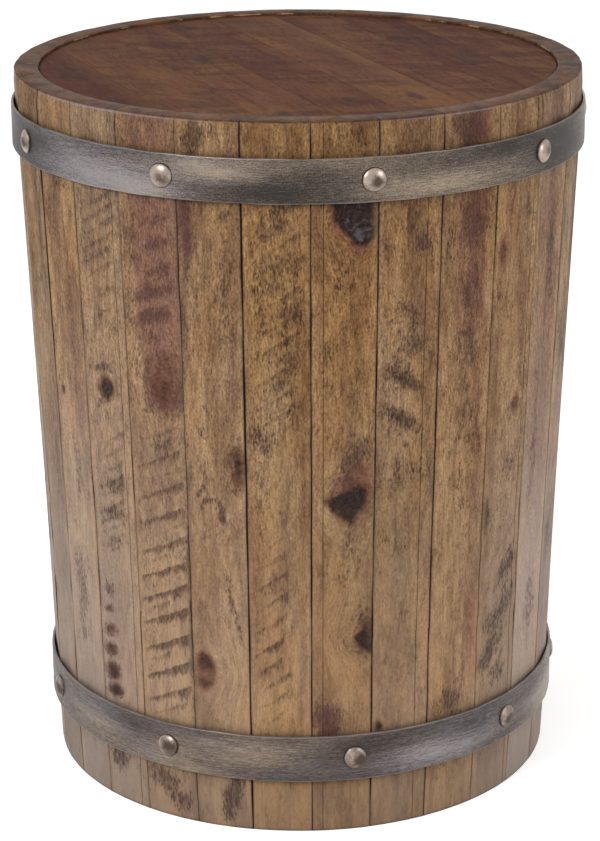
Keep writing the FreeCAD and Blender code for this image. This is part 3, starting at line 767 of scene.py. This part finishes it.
def hoop_shape(name, seed):
    """Angle, distance from the axis and height of each point of a hoop's strip, lap included."""
    low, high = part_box(name)
    radius = hoop_radius(name)
    lap = lap_length / radius
    start = lap_angle(name) - lap / 2
    angles = start + np.linspace(0, 2 * math.pi + lap, hoop_steps)
    past_start = angles - start - 2 * math.pi
    rise = smooth_step(past_start, -step_length / radius, 0) * (hoop_thickness + lap_clearance)

    arc = (angles * radius)[:, None]
    upper = high.z - 0.25 * mm * (1 + wander(arc, seed, 90 * mm))
    lower = low.z + 0.25 * mm * (1 + wander(arc, seed + 1, 80 * mm))
    outer_up = upper + (lower - upper) * hoop_shares
    from_edge = np.minimum(upper - outer_up, outer_up - lower)
    outer = radius + rise[:, None] + hoop_thickness - rounding(from_edge, hoop_edge_rounding)
    hammered = (wander(arc + outer_up * 2, seed + 2, 48 * mm)
                + wander(arc * 0.8 - outer_up * 3, seed + 3, 21 * mm))
    inner_up = np.concatenate([lower, (lower + upper) / 2, upper], 1)
    inner = np.broadcast_to(radius + rise[:, None], inner_up.shape)
    up = np.concatenate([outer_up, inner_up], 1)
    reach = np.concatenate([outer + hammered * 0.07 * mm, inner], 1)
    return np.repeat(angles[:, None], up.shape[1], 1), reach, up


def invented_rubbing(seed):
    """Rubbed places for the back of a hoop, which the photograph doesn't show."""
    dice = random.Random(seed)
    places = []
    for _ in range(16):
        middle, level, half_length = dice.uniform(75, 285), dice.uniform(0.1, 0.9), dice.uniform(8, 16)
        places.append((middle, half_length, level, dice.uniform(0.25, 0.5), dice.uniform(-0.5, 0.8)))
    return places


def make_hoop(name, material):
    seed = len(name)
    turn, reach, up = hoop_shape(name, seed)
    count = up.shape[1]
    turn, reach, up = turn.ravel(), reach.ravel(), up.ravel()
    points = np.stack([reach * np.sin(turn), -reach * np.cos(turn), up], 1)
    low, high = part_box(name)
    width = high.z - low.z
    share = (up - low.z) / width
    # Lighter and darker patches: partly rubbed finish, partly painted reflection.
    rubbed_and_reflection = np.zeros(len(points))
    for middle, half_length, level, half_height, strength in rubbed_and_reflection_places[name] + invented_rubbing(seed):
        off = degrees_off(turn, middle)
        mask = np.exp(-(off / half_length) ** 2 - ((share - level) / half_height) ** 2)
        rubbed_and_reflection = rubbed_and_reflection + mask * strength
    # Lighter along both edges: painted highlight where the edges catch light, and wear.
    edge = np.clip(1 - np.minimum(share, 1 - share) * width / (1.2 * mm), 0, 1)
    everywhere, middle, spread, amount = cool_places[name]
    cool = everywhere + amount * np.exp(-(degrees_off(turn, middle) / spread) ** 2)
    speckled = np.full(len(points), hoop_speckling[name])
    grain = columns_of([turn * hoop_radius(name), up, reach]) + seed
    return new_piece("detailed_" + name, points, tube_faces(hoop_steps, count),
                     {"grain": grain, "wear_and_painted_light": columns_of([rubbed_and_reflection, edge, cool, speckled])},
                     material, [name], 50)


def fastener_places(node):
    """The angle and height of each nail or rivet in a node, and how far out its head reaches."""
    points = corners(node)
    distance = np.hypot(points[:, 0], points[:, 1])
    found = []
    for z_low, z_high in ((0, table_height / 2), (table_height / 2, table_height)):
        level = (points[:, 2] > z_low) & (points[:, 2] < z_high)
        if not level.any():
            continue
        reach = distance[level].max()
        tops = points[level & (distance > reach - 0.8 * mm)]
        angles = np.arctan2(tops[:, 0], -tops[:, 1])
        order = np.argsort(angles)
        groups = np.split(order, np.nonzero(np.diff(angles[order]) * reach > 4 * mm)[0] + 1)
        for group in groups:
            place = tops[group].mean(0)
            found.append((math.atan2(place[0], -place[1]), place[2], reach))
    return found


def make_fasteners(name, node, material, sizes):
    """Domed heads with their shanks, turned on the spot, each a little uneven by hand."""
    width, height, shank_width, shank_length = sizes
    sides = 36
    shares = np.array([0.03, 0.18, 0.34, 0.5, 0.64, 0.77, 0.87, 0.94, 0.98, 1.0])
    profile = [(width / 2 * x, height * (1 - x ** 2.15) ** 0.56) for x in shares]
    profile += [(width / 2, -0.05 * height), (shank_width / 2, -0.05 * height),
                (shank_width / 8, -shank_length)]
    points, faces, grain, wear_and_painted_light = [], [], [], []
    for i, (angle, level, reach) in enumerate(fastener_places(node)):
        dice = random.Random(i * 13 + len(name))
        seat = reach - height
        out, right = direction(angle), sideways(angle)
        lean_x, lean_z = dice.uniform(-0.05, 0.05), dice.uniform(-0.05, 0.05)
        seed = dice.randint(0, 999)
        # A painted dark reflection on each head, a little right of and below its middle.
        dark_reflection_x = dice.uniform(0.02, 0.2) * width
        dark_reflection_z = dice.uniform(-0.18, 0.04) * width
        first = len(points)
        for radius, lift in profile:
            for k in range(sides):
                turn = 2 * math.pi * k / sides
                uneven = 1 + 0.012 * math.sin(2 * turn + seed) + 0.01 * math.sin(3 * turn + 2 * seed)
                x = radius * uneven * math.cos(turn)
                z = radius * uneven * math.sin(turn)
                rise = lift + (x * lean_x + z * lean_z) * (lift > 0)
                points.append(out * (seat + rise) + right * x + np.array([0, 0, level + z]))
                grain.append((x + i * 0.31, z + seed, rise))
                dark_reflection = ((x - dark_reflection_x) ** 2 + (z - dark_reflection_z) ** 2 * 1.6) / (0.3 * width) ** 2
                wear_and_painted_light.append((min(1, radius / (width / 2)), math.exp(-dark_reflection), nail_dullness[node]))
        faces += tube_faces(len(profile), sides, first)
    outward = [tuple(reversed(face)) for face in faces]
    return new_piece(name, np.array(points), outward, {"grain": np.array(grain), "wear_and_painted_light": np.array(wear_and_painted_light)},
                     material, [node], 60)


# Shaders

class Shader:
    """One material, with short names for its nodes, and the colour painted on it so far."""

    def __init__(self, name):
        self.material = bpy.data.materials.new(name)
        self.material.use_nodes = True
        self.tree = self.material.node_tree
        self.surface = self.tree.nodes["Principled BSDF"]
        self.colour = None

    def node(self, kind, **settings):
        made = self.tree.nodes.new("ShaderNode" + kind)
        for key, value in settings.items():
            setattr(made, key, value)
        return made

    def feed(self, value, socket):
        if isinstance(value, bpy.types.NodeSocket):
            self.tree.links.new(value, socket)
        elif isinstance(value, tuple) and len(value) == 3 and socket.type == "RGBA":
            socket.default_value = (*value, 1)
        else:
            socket.default_value = value

    def maths(self, operation, a, b=0.0, clamp=False):
        made = self.node("Math", operation=operation, use_clamp=clamp)
        self.feed(a, made.inputs[0])
        self.feed(b, made.inputs[1])
        return made.outputs[0]

    def add(self, *values):
        total = values[0]
        for value in values[1:]:
            total = self.maths("ADD", total, value)
        return total

    def times(self, *values):
        total = values[0]
        for value in values[1:]:
            total = self.maths("MULTIPLY", total, value)
        return total

    def off(self, value, amount):
        """How far a noise lies from its middle, times an amount."""
        return self.times(self.add(value, -0.5), amount)

    def scaled(self, vector, scale):
        made = self.node("VectorMath", operation="MULTIPLY")
        self.feed(vector, made.inputs[0])
        made.inputs[1].default_value = scale
        return made.outputs[0]

    def turned(self, vector, angle):
        made = self.node("VectorRotate", rotation_type="Z_AXIS")
        self.feed(vector, made.inputs["Vector"])
        made.inputs["Angle"].default_value = angle
        return made.outputs[0]

    def noise(self, vector, scale, detail=2.0, roughness=0.5, distortion=0.0):
        made = self.node("TexNoise")
        self.feed(self.scaled(vector, scale), made.inputs["Vector"])
        made.inputs["Scale"].default_value = 1
        made.inputs["Detail"].default_value = detail
        made.inputs["Roughness"].default_value = roughness
        made.inputs["Distortion"].default_value = distortion
        return made.outputs["Fac"]

    def ramp(self, value, low, high, start=0.0, end=1.0):
        made = self.node("MapRange", interpolation_type="SMOOTHSTEP")
        for key, given in (("Value", value), ("From Min", low), ("From Max", high),
                           ("To Min", start), ("To Max", end)):
            self.feed(given, made.inputs[key])
        return made.outputs[0]

    def mix(self, share, a, b, blend="MIX"):
        made = self.node("Mix", data_type="RGBA", blend_type=blend)
        self.feed(share, made.inputs["Factor"])
        self.feed(a, made.inputs[6])
        self.feed(b, made.inputs[7])
        return made.outputs[2]

    def attribute(self, name):
        return self.node("Attribute", attribute_name=name)

    def split(self, colour):
        made = self.node("SeparateColor")
        self.feed(colour, made.inputs[0])
        return made.outputs

    def channels(self, name):
        """The four values that an attribute holds at each point."""
        outputs = self.attribute(name).outputs
        return (*self.split(outputs["Color"])[:3], outputs["Alpha"])

    def paint(self, share, colour):
        """Lay a colour over what is painted so far: three numbers as on screen, or a socket."""
        if isinstance(colour, tuple):
            colour = from_srgb(*colour)
        self.colour = self.mix(share, self.colour, colour)

    def shade(self, amount):
        """Darken or lighten what is painted so far."""
        grey = self.node("CombineColor")
        for socket in grey.inputs[:3]:
            self.feed(amount, socket)
        self.colour = self.mix(1.0, self.colour, grey.outputs[0], "MULTIPLY")

    def bump(self, height, distance, strength=1.0):
        made = self.node("Bump")
        made.inputs["Strength"].default_value = strength
        made.inputs["Distance"].default_value = distance
        self.feed(height, made.inputs["Height"])
        self.feed(made.outputs["Normal"], self.surface.inputs["Normal"])

    def finish(self, roughness, metallic=0.0, specular=0.5):
        for key, value in (("Base Color", self.colour), ("Roughness", roughness),
                           ("Metallic", metallic), ("Specular IOR Level", specular)):
            self.feed(value, self.surface.inputs[key])


def from_srgb(red, green, blue):
    """A colour given as it shows on screen, from 0 to 255, in the shader's linear values."""
    values = []
    for value in (red, green, blue):
        share = value / 255
        values.append(share / 12.92 if share <= 0.04045 else ((share + 0.055) / 1.055) ** 2.4)
    return tuple(values)


# The colour of what has settled in the seams and on the foot, as it shows on screen
grime = (34, 24, 20)


def stave_inputs(s):
    """What a stave's mesh says at each point, and the noises that its wood is made of."""
    w = SimpleNamespace()
    w.stain, w.knot, w.saw, w.flush = s.channels("marks")
    w.lightness, w.redness, w.dirt, w.worn = s.channels("tone")
    w.rim, w.foot, w.bleached, w.rim_edge = s.channels("wear_and_painted_light")
    height_up = s.split(s.node("TexCoord").outputs["Object"])[2]
    w.crisp = s.times(s.ramp(height_up, 0.08, 0.5, 0.55, 1.3), s.ramp(w.bleached, 0.4, 1.6, 1.0, 0.75),
                      s.ramp(height_up, 0.03, 0.05, 0.6, 1.0))
    grain = s.attribute("grain").outputs["Vector"]
    w.broad = s.noise(grain, (38, 5, 38), 2)
    w.streak = s.noise(grain, (230, 10, 230), 3, 0.6)
    w.fibre = s.noise(grain, (620, 110, 620), 3, 0.7)
    w.grit = s.noise(grain, (820, 380, 820), 2, 0.7)
    w.fleck = s.noise(grain, (640, 210, 640), 3, 0.65)
    w.mottle = s.noise(grain, (150, 42, 150), 3, 0.6)
    w.blotch = s.noise(grain, (55, 24, 55), 3, 0.6)
    w.ragged = s.noise(grain, (330, 90, 330), 3, 0.65)
    w.hue = s.noise(grain, (30, 9, 30), 2)
    return w


def paint_grain(s, w):
    """The bare wood: broad tones, brown streaks, golden and rosy parts, a red flush, flecks, and paler
    parts with painted sheen.
    """
    s.colour = from_srgb(158, 127, 93)
    s.paint(s.ramp(s.add(w.broad, s.off(w.mottle, 0.5)), 0.3, 0.7), (122, 92, 67))
    s.paint(s.times(s.ramp(w.streak, 0.48, 0.72), 0.45), (83, 58, 42))
    golden = s.mix(1.0, s.colour, (1.0, 0.91, 0.72), "MULTIPLY")
    rosy = s.mix(1.0, s.colour, (0.96, 0.82, 0.86), "MULTIPLY")
    tilt = s.add(w.redness, s.off(w.hue, 2.2), s.off(w.ragged, 1.6))
    s.paint(s.ramp(tilt, 0.0, -0.8), golden)
    s.paint(s.ramp(tilt, 0.0, 0.8), rosy)
    flushed = s.ramp(s.add(w.flush, s.off(w.streak, 0.6), s.off(w.blotch, 0.3)), 0.2, 0.8)
    s.paint(s.times(flushed, 0.8), (115, 75, 61))
    flecked = s.times(s.ramp(s.add(w.fleck, s.off(w.mottle, 0.45)), 0.48, 0.68),
                      s.ramp(w.blotch, 0.35, 0.65, 0.26, 0.78), s.add(1.0, s.times(flushed, -0.5)),
                      s.ramp(w.crisp, 0.4, 1.3, 0.62, 1.15))
    s.paint(flecked, (67, 45, 33))
    # Paler, greyer wood: partly each stave's own paleness, partly painted sheen.
    s.paint(s.times(w.bleached, 0.28), (136, 126, 119))
    return flushed, flecked


def paint_marks(s, w, flushed):
    """Stains, old saw marks and knots, with threads of the grain left lighter in them."""
    cloud = s.add(s.off(w.blotch, 0.5), s.off(w.mottle, 0.7), s.off(w.fleck, 1.5))
    stained = s.ramp(s.add(w.stain, cloud), 0.18, 0.8)
    threads = s.ramp(s.add(w.fibre, s.off(w.fleck, 0.6)), 0.35, 0.62, 0.5, 0.88)
    s.paint(s.times(stained, threads), s.mix(flushed, from_srgb(62, 46, 42), from_srgb(74, 49, 46)))
    uneven = s.add(w.saw, s.off(w.ragged, 0.9), s.off(w.fleck, 0.9), s.off(w.mottle, 0.5))
    sawn = s.ramp(uneven, 0.15, 1.0)
    s.paint(s.times(sawn, threads), (62, 46, 39))
    halo = s.ramp(s.add(w.knot, s.off(w.streak, 0.5), s.off(w.mottle, 0.6)), 0.05, 0.55)
    s.paint(s.times(halo, 0.7), (78, 48, 33))
    core = s.ramp(s.add(w.knot, s.off(w.ragged, 0.5), s.off(w.mottle, 0.6)), 0.35, 0.7)
    s.paint(s.times(core, s.ramp(w.grit, 0.3, 0.7, 1.0, 0.8)), (42, 34, 33))
    scratched = s.ramp(s.add(w.fleck, s.off(w.blotch, 1.2)), 0.55, 0.8)
    s.paint(s.times(core, s.ramp(w.knot, 0.85, 1.0), scratched, 0.5), (98, 94, 102))
    return sawn


def paint_seams(s, w):
    """Pale wear and grey dirt beside the seams, and the dark line in them."""
    s.paint(s.times(w.worn, 0.3), (168, 133, 96))
    beside_seam = s.ramp(s.add(w.dirt, s.off(w.blotch, 0.6), s.off(w.fibre, 0.5)), 0.2, 0.9)
    s.paint(s.times(beside_seam, 0.45), (78, 64, 61))
    in_seam = s.ramp(s.add(w.dirt, s.off(w.ragged, 0.12)), 0.66, 0.86)
    s.paint(in_seam, grime)
    return in_seam


def paint_ends(s, w, in_seam):
    """End grain on the rim, the rim's worn and chipped edges with a painted sheen on the outer one, and
    the dirty foot.
    """
    end_grain = s.mix(s.ramp(s.add(w.ragged, w.broad, s.off(w.mottle, 0.8)), 0.75, 1.25),
                      from_srgb(104, 67, 41), from_srgb(62, 43, 31))
    on_rim = s.ramp(s.add(w.rim, s.off(w.ragged, 0.8)), 0.3, 0.8)
    s.paint(on_rim, s.mix(in_seam, end_grain, from_srgb(*grime)))
    # Pale bluish grey on the rim's outer edge: wear, and painted sheen.
    edge_wear_and_sheen = s.ramp(s.add(w.rim_edge, s.off(w.ragged, 0.7), s.off(w.fleck, 0.6)), 0.3, 1.1)
    s.paint(s.times(edge_wear_and_sheen, 0.7), (140, 132, 138))
    chipped = s.ramp(s.add(w.rim_edge, s.off(w.ragged, 0.9)), -0.5, -0.9)
    s.paint(s.times(chipped, 0.6), (184, 150, 116))
    s.paint(s.times(w.foot, 0.5), grime)


def stave_wood():
    """Stained acacia-like wood with flecks, streaks, stains, knots and old saw marks."""
    s = Shader("stave_wood")
    w = stave_inputs(s)
    flushed, flecked = paint_grain(s, w)
    sawn = paint_marks(s, w, flushed)
    in_seam = paint_seams(s, w)
    detail = s.times(s.add(s.off(w.fibre, 1.3), s.off(w.grit, 1.5), s.off(w.fleck, 0.6)), w.crisp)
    # Each stave's lightness, with its painted shade by height and painted shadow beside the hoops.
    s.shade(s.times(w.lightness, s.add(1.0, s.off(w.streak, 0.35), detail)))
    paint_ends(s, w, in_seam)
    s.finish(s.add(s.ramp(w.blotch, 0.3, 0.7, 0.42, 0.55), s.times(w.dirt, 0.2)), specular=0.06)
    height = s.add(s.times(w.fibre, 0.4, w.crisp), s.times(flecked, -0.6), s.times(sawn, -0.8),
                   s.times(w.streak, 0.4))
    s.bump(height, 0.35 * mm, 0.8)
    return s.material


def top_wood():
    """The same wood under a darker, smoother stain."""
    s = Shader("top_wood")
    grain = s.attribute("grain").outputs["Vector"]
    shaded, knotty = s.channels("marks")[:2]
    lightness, redness, dirt, light_edge = s.channels("tone")
    rim = s.channels("wear_and_painted_light")[0]

    broad = s.noise(grain, (26, 5, 26), 2)
    streak = s.noise(grain, (120, 7, 120), 3, 0.6)
    fibre = s.noise(grain, (900, 40, 900), 2, 0.6)
    fleck = s.noise(grain, (600, 90, 600), 2, 0.55)
    speck = s.noise(grain, (500, 160, 500), 3, 0.65)
    ragged = s.noise(grain, (200, 50, 200), 3, 0.65)
    wave = s.noise(s.turned(grain, 0.7), (10, 36, 10), 3, 0.5, 0.7)
    chatter = s.noise(s.turned(grain, 0.2), (12, 72, 12), 2, 0.5, 0.4)
    ripple = s.add(wave, s.times(s.off(chatter, 1.6), s.ramp(wave, 0.4, 0.6)))
    hue = s.noise(grain, (40, 16, 40), 2)

    s.colour = s.mix(s.ramp(hue, 0.35, 0.65), from_srgb(108, 74, 46), from_srgb(100, 62, 46))
    s.paint(s.ramp(s.add(broad, s.off(ripple, 0.9), s.off(speck, 0.6)), 0.28, 0.72), (80, 49, 38))
    s.paint(s.times(s.ramp(streak, 0.5, 0.72), 0.6), (60, 38, 30))
    s.paint(s.times(s.ramp(redness, 0.0, -1.0), 0.6), (108, 76, 48))
    s.paint(s.times(s.ramp(redness, 0.0, 1.0), 0.7), (82, 46, 38))
    s.paint(s.times(s.ramp(fleck, 0.52, 0.7), 0.5), (50, 31, 25))
    s.paint(s.times(s.ramp(s.add(shaded, s.off(ragged, 0.8)), 0.3, 0.7), 0.5), (66, 46, 42))
    s.paint(s.times(s.ramp(s.add(knotty, s.off(ragged, 0.6)), 0.2, 0.7), 0.7), (60, 44, 43))
    s.paint(s.times(light_edge, 0.3), (116, 84, 56))
    s.paint(s.times(dirt, 0.8), (44, 30, 26))
    # Painted shadow round the top's edge.
    s.paint(s.ramp(rim, 0.3, 0.9), (46, 34, 30))
    # Each plank's lightness, with the painted shade towards the back.
    s.shade(lightness)
    s.finish(s.ramp(ragged, 0.3, 0.7, 0.46, 0.56), specular=0.01)
    s.bump(s.add(s.times(fibre, 0.4), s.times(streak, 0.5), s.times(fleck, -0.3)), 0.2 * mm, 0.6)
    return s.material


def hoop_metal():
    """Dark bronzed steel, lighter and darker in long brushed patches of rubbed finish and painted
    reflection, with a painted highlight and wear along its edges.
    """
    s = Shader("hoop_metal")
    grain = s.attribute("grain").outputs["Vector"]
    rubbed_and_reflection, edge, cool, speckled = s.channels("wear_and_painted_light")
    brushed = s.noise(grain, (42, 800, 0), 3, 0.7)
    fine = s.noise(grain, (180, 1300, 0), 2, 0.65)
    cloudy = s.noise(grain, (11, 55, 0), 3, 0.6)
    speck = s.noise(grain, (800, 800, 800), 3, 0.75)
    hue = s.noise(grain, (8, 30, 0), 3, 0.6)

    tint = s.ramp(s.add(cool, s.off(hue, 1.4)), 0.1, 0.8)
    light = s.add(s.times(rubbed_and_reflection, 1.3), s.off(cloudy, 1.3), -0.05, s.off(brushed, 1.5), s.off(fine, 1.8),
                  s.times(s.off(speck, 3.0), speckled))
    worn_bronze = s.mix(tint, from_srgb(104, 92, 82), from_srgb(98, 91, 94))
    bright_bronze = s.mix(tint, from_srgb(160, 142, 119), from_srgb(148, 141, 141))
    s.colour = from_srgb(46, 40, 37)
    s.paint(s.ramp(light, -0.7, 0.6), worn_bronze)
    s.paint(s.times(s.ramp(light, 0.15, 1.25), 0.85), bright_bronze)
    s.paint(s.times(s.ramp(speck, 0.54, 0.68), 0.55, speckled), (58, 45, 37))
    # Painted highlight and wear along both edges.
    s.paint(s.times(edge, 0.5), (176, 166, 160))
    s.finish(s.add(s.ramp(light, -0.5, 1.0, 0.5, 0.36), s.off(speck, 0.2)), metallic=0.7)
    s.bump(s.add(s.times(brushed, 0.5), s.times(fine, 0.5), s.times(cloudy, 0.6), s.times(speck, 0.5)),
           0.15 * mm, 0.8)
    return s.material


def nail_metal():
    """Bronze with a painted dark reflection right of and below the middle of each head, so that it shows
    brighter towards the rim, and a dark line round the rim itself.
    """
    s = Shader("nail_metal")
    grain = s.attribute("grain").outputs["Vector"]
    rim, dark_reflection, dull = s.channels("wear_and_painted_light")[:3]
    cloudy = s.noise(grain, (130, 130, 130), 2, 0.5)
    pit = s.noise(grain, (900, 900, 900), 2, 0.6)
    # Less bright for duller nails and under the painted dark reflection.
    shine = s.add(0.9, s.times(dull, -1.0), s.times(dark_reflection, -0.85), s.off(cloudy, 1.2), s.off(pit, 0.8))
    bright = s.ramp(shine, 0.0, 1.0)
    s.colour = from_srgb(76, 62, 53)
    s.paint(bright, (166, 150, 138))
    s.paint(s.ramp(rim, 0.87, 0.99), (46, 38, 34))
    s.finish(s.ramp(s.add(bright, s.off(pit, 0.4)), 0.0, 1.0, 0.48, 0.36), metallic=0.85)
    s.bump(s.add(cloudy, s.times(pit, 0.3)), 0.15 * mm, 0.5)
    return s.material


def plain(name, colour, second, scale, roughness, metallic=0.0):
    """A simple two-tone finish for pieces that hardly show."""
    s = Shader(name)
    place = s.node("TexCoord").outputs["Object"]
    fine = s.noise(place, scale, 4, 0.6)
    broad = s.noise(place, tuple(share / 6 for share in scale), 2)
    s.colour = from_srgb(*colour)
    s.paint(s.ramp(s.add(fine, s.off(broad, 0.5)), 0.3, 0.7), second)
    s.finish(s.ramp(fine, 0.3, 0.7, roughness, roughness + 0.15), metallic)
    s.bump(fine, 0.2 * mm, 0.6)
    return s.material


# Camera, lights and floor

def camera():
    """The photograph's view: from the front, looking down a little, through a long lens."""
    focal_pixels = 2673.8
    image_height_pixels = 841
    sensor_millimetres = 36
    distance = 2.2226
    height = 1.0557
    pitch = math.radians(19.032)
    roll = math.radians(-0.317)
    data = bpy.data.cameras.new("camera")
    data.sensor_width = sensor_millimetres
    data.lens = focal_pixels / image_height_pixels * data.sensor_width
    data.clip_end = 50
    lens = bpy.data.objects.new("camera", data)
    bpy.context.scene.collection.objects.link(lens)
    tilt = Matrix.Rotation(math.pi / 2 - pitch, 4, "X")
    twist = Matrix.Rotation(roll, 4, "Z")
    lens.matrix_world = Matrix.Translation((0, -distance, height)) @ tilt @ twist
    bpy.context.scene.camera = lens


def seen_directly(tree):
    """1 where the camera, a mirror or glass looks at a surface, and 0 where it only gives light."""
    path = tree.nodes.new("ShaderNodeLightPath")
    total = path.outputs["Is Camera Ray"]
    for name in ("Is Glossy Ray", "Is Transmission Ray"):
        add = tree.nodes.new("ShaderNodeMath")
        add.operation = "MAXIMUM"
        tree.links.new(total, add.inputs[0])
        tree.links.new(path.outputs[name], add.inputs[1])
        total = add.outputs[0]
    return total


def area_lamp(name, place, size, power):
    """A soft square lamp that faces the middle of the table."""
    data = bpy.data.lights.new(name, "AREA")
    data.size = size
    data.energy = power
    lamp = bpy.data.objects.new(name, data)
    bpy.context.scene.collection.objects.link(lamp)
    target = np.array([0, 0, table_height * 0.6])
    away = Matrix.Translation(place).to_translation() - Matrix.Translation(target).to_translation()
    lamp.matrix_world = Matrix.Translation(place) @ away.to_track_quat("Z", "Y").to_matrix().to_4x4()


def lights():
    world = bpy.data.worlds.new("world")
    world.use_nodes = True
    tree = world.node_tree
    background = tree.nodes["Background"]
    background.inputs["Color"].default_value = (1, 1, 1, 1)
    strength = tree.nodes.new("ShaderNodeMapRange")
    strength.inputs["To Min"].default_value = 0.6
    strength.inputs["To Max"].default_value = 1.0
    tree.links.new(seen_directly(tree), strength.inputs["Value"])
    tree.links.new(strength.outputs[0], background.inputs["Strength"])
    bpy.context.scene.world = world
    area_lamp("key_lamp", (-1.6, -1.9, 1.9), 0.9, 42)
    area_lamp("side_lamp", (2.0, -1.3, 1.2), 0.8, 16)


def floor():
    """A pale floor that shows white and keeps the table's shadow."""
    s = Shader("floor")
    place = s.node("TexCoord").outputs["Object"]
    speckle = s.noise(place, (40, 40, 40), 3)
    s.colour = s.mix(speckle, (0.86, 0.86, 0.86), (0.9, 0.9, 0.9))
    s.finish(0.9, specular=0.0)
    glow = 0.5
    s.surface.inputs["Emission Color"].default_value = (1, 1, 1, 1)
    s.feed(s.times(seen_directly(s.tree), glow), s.surface.inputs["Emission Strength"])
    mesh = bpy.data.meshes.new("floor")
    reach = 14
    mesh.from_pydata([(-reach, -reach, 0), (reach, -reach, 0), (reach, reach, 0), (-reach, reach, 0)],
                     [], [(0, 1, 2, 3)])
    mesh.materials.append(s.material)
    ground = bpy.data.objects.new("floor", mesh)
    bpy.context.scene.collection.objects.link(ground)
    ground.location.z = -0.1 * mm


def main():
    camera()
    lights()
    floor()
    wood = stave_wood()
    for name in stave_names:
        make_stave(name, wood)
    dark_wood = top_wood()
    for name in plank_names:
        make_plank(name, dark_wood)
    metal = hoop_metal()
    bronze = nail_metal()
    for name in rubbed_and_reflection_places:
        make_hoop(name, metal)
        make_fasteners("domed_" + name + "_nails", name + "_nails", bronze, nail_sizes)
    make_fasteners("domed_hoop_rivets", "hoop_rivets", bronze, rivet_sizes)
    steel = plain("brad_steel", (150, 150, 150), (110, 108, 106), (400, 400, 400), 0.35, 0.9)
    finishes = {
        "top_support_ring": plain("ring_plywood", (176, 142, 102), (150, 116, 80), (14, 160, 500), 0.6),
        "base_panel": plain("base_plywood", (168, 134, 96), (138, 106, 74), (14, 190, 500), 0.6),
        "plank_brads": steel,
        "stave_brads": steel,
    }
    for name, material in finishes.items():
        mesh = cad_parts[name].data
        mesh.materials.clear()
        mesh.materials.append(material)
    bpy.context.scene.view_settings.view_transform = "Standard"


main()
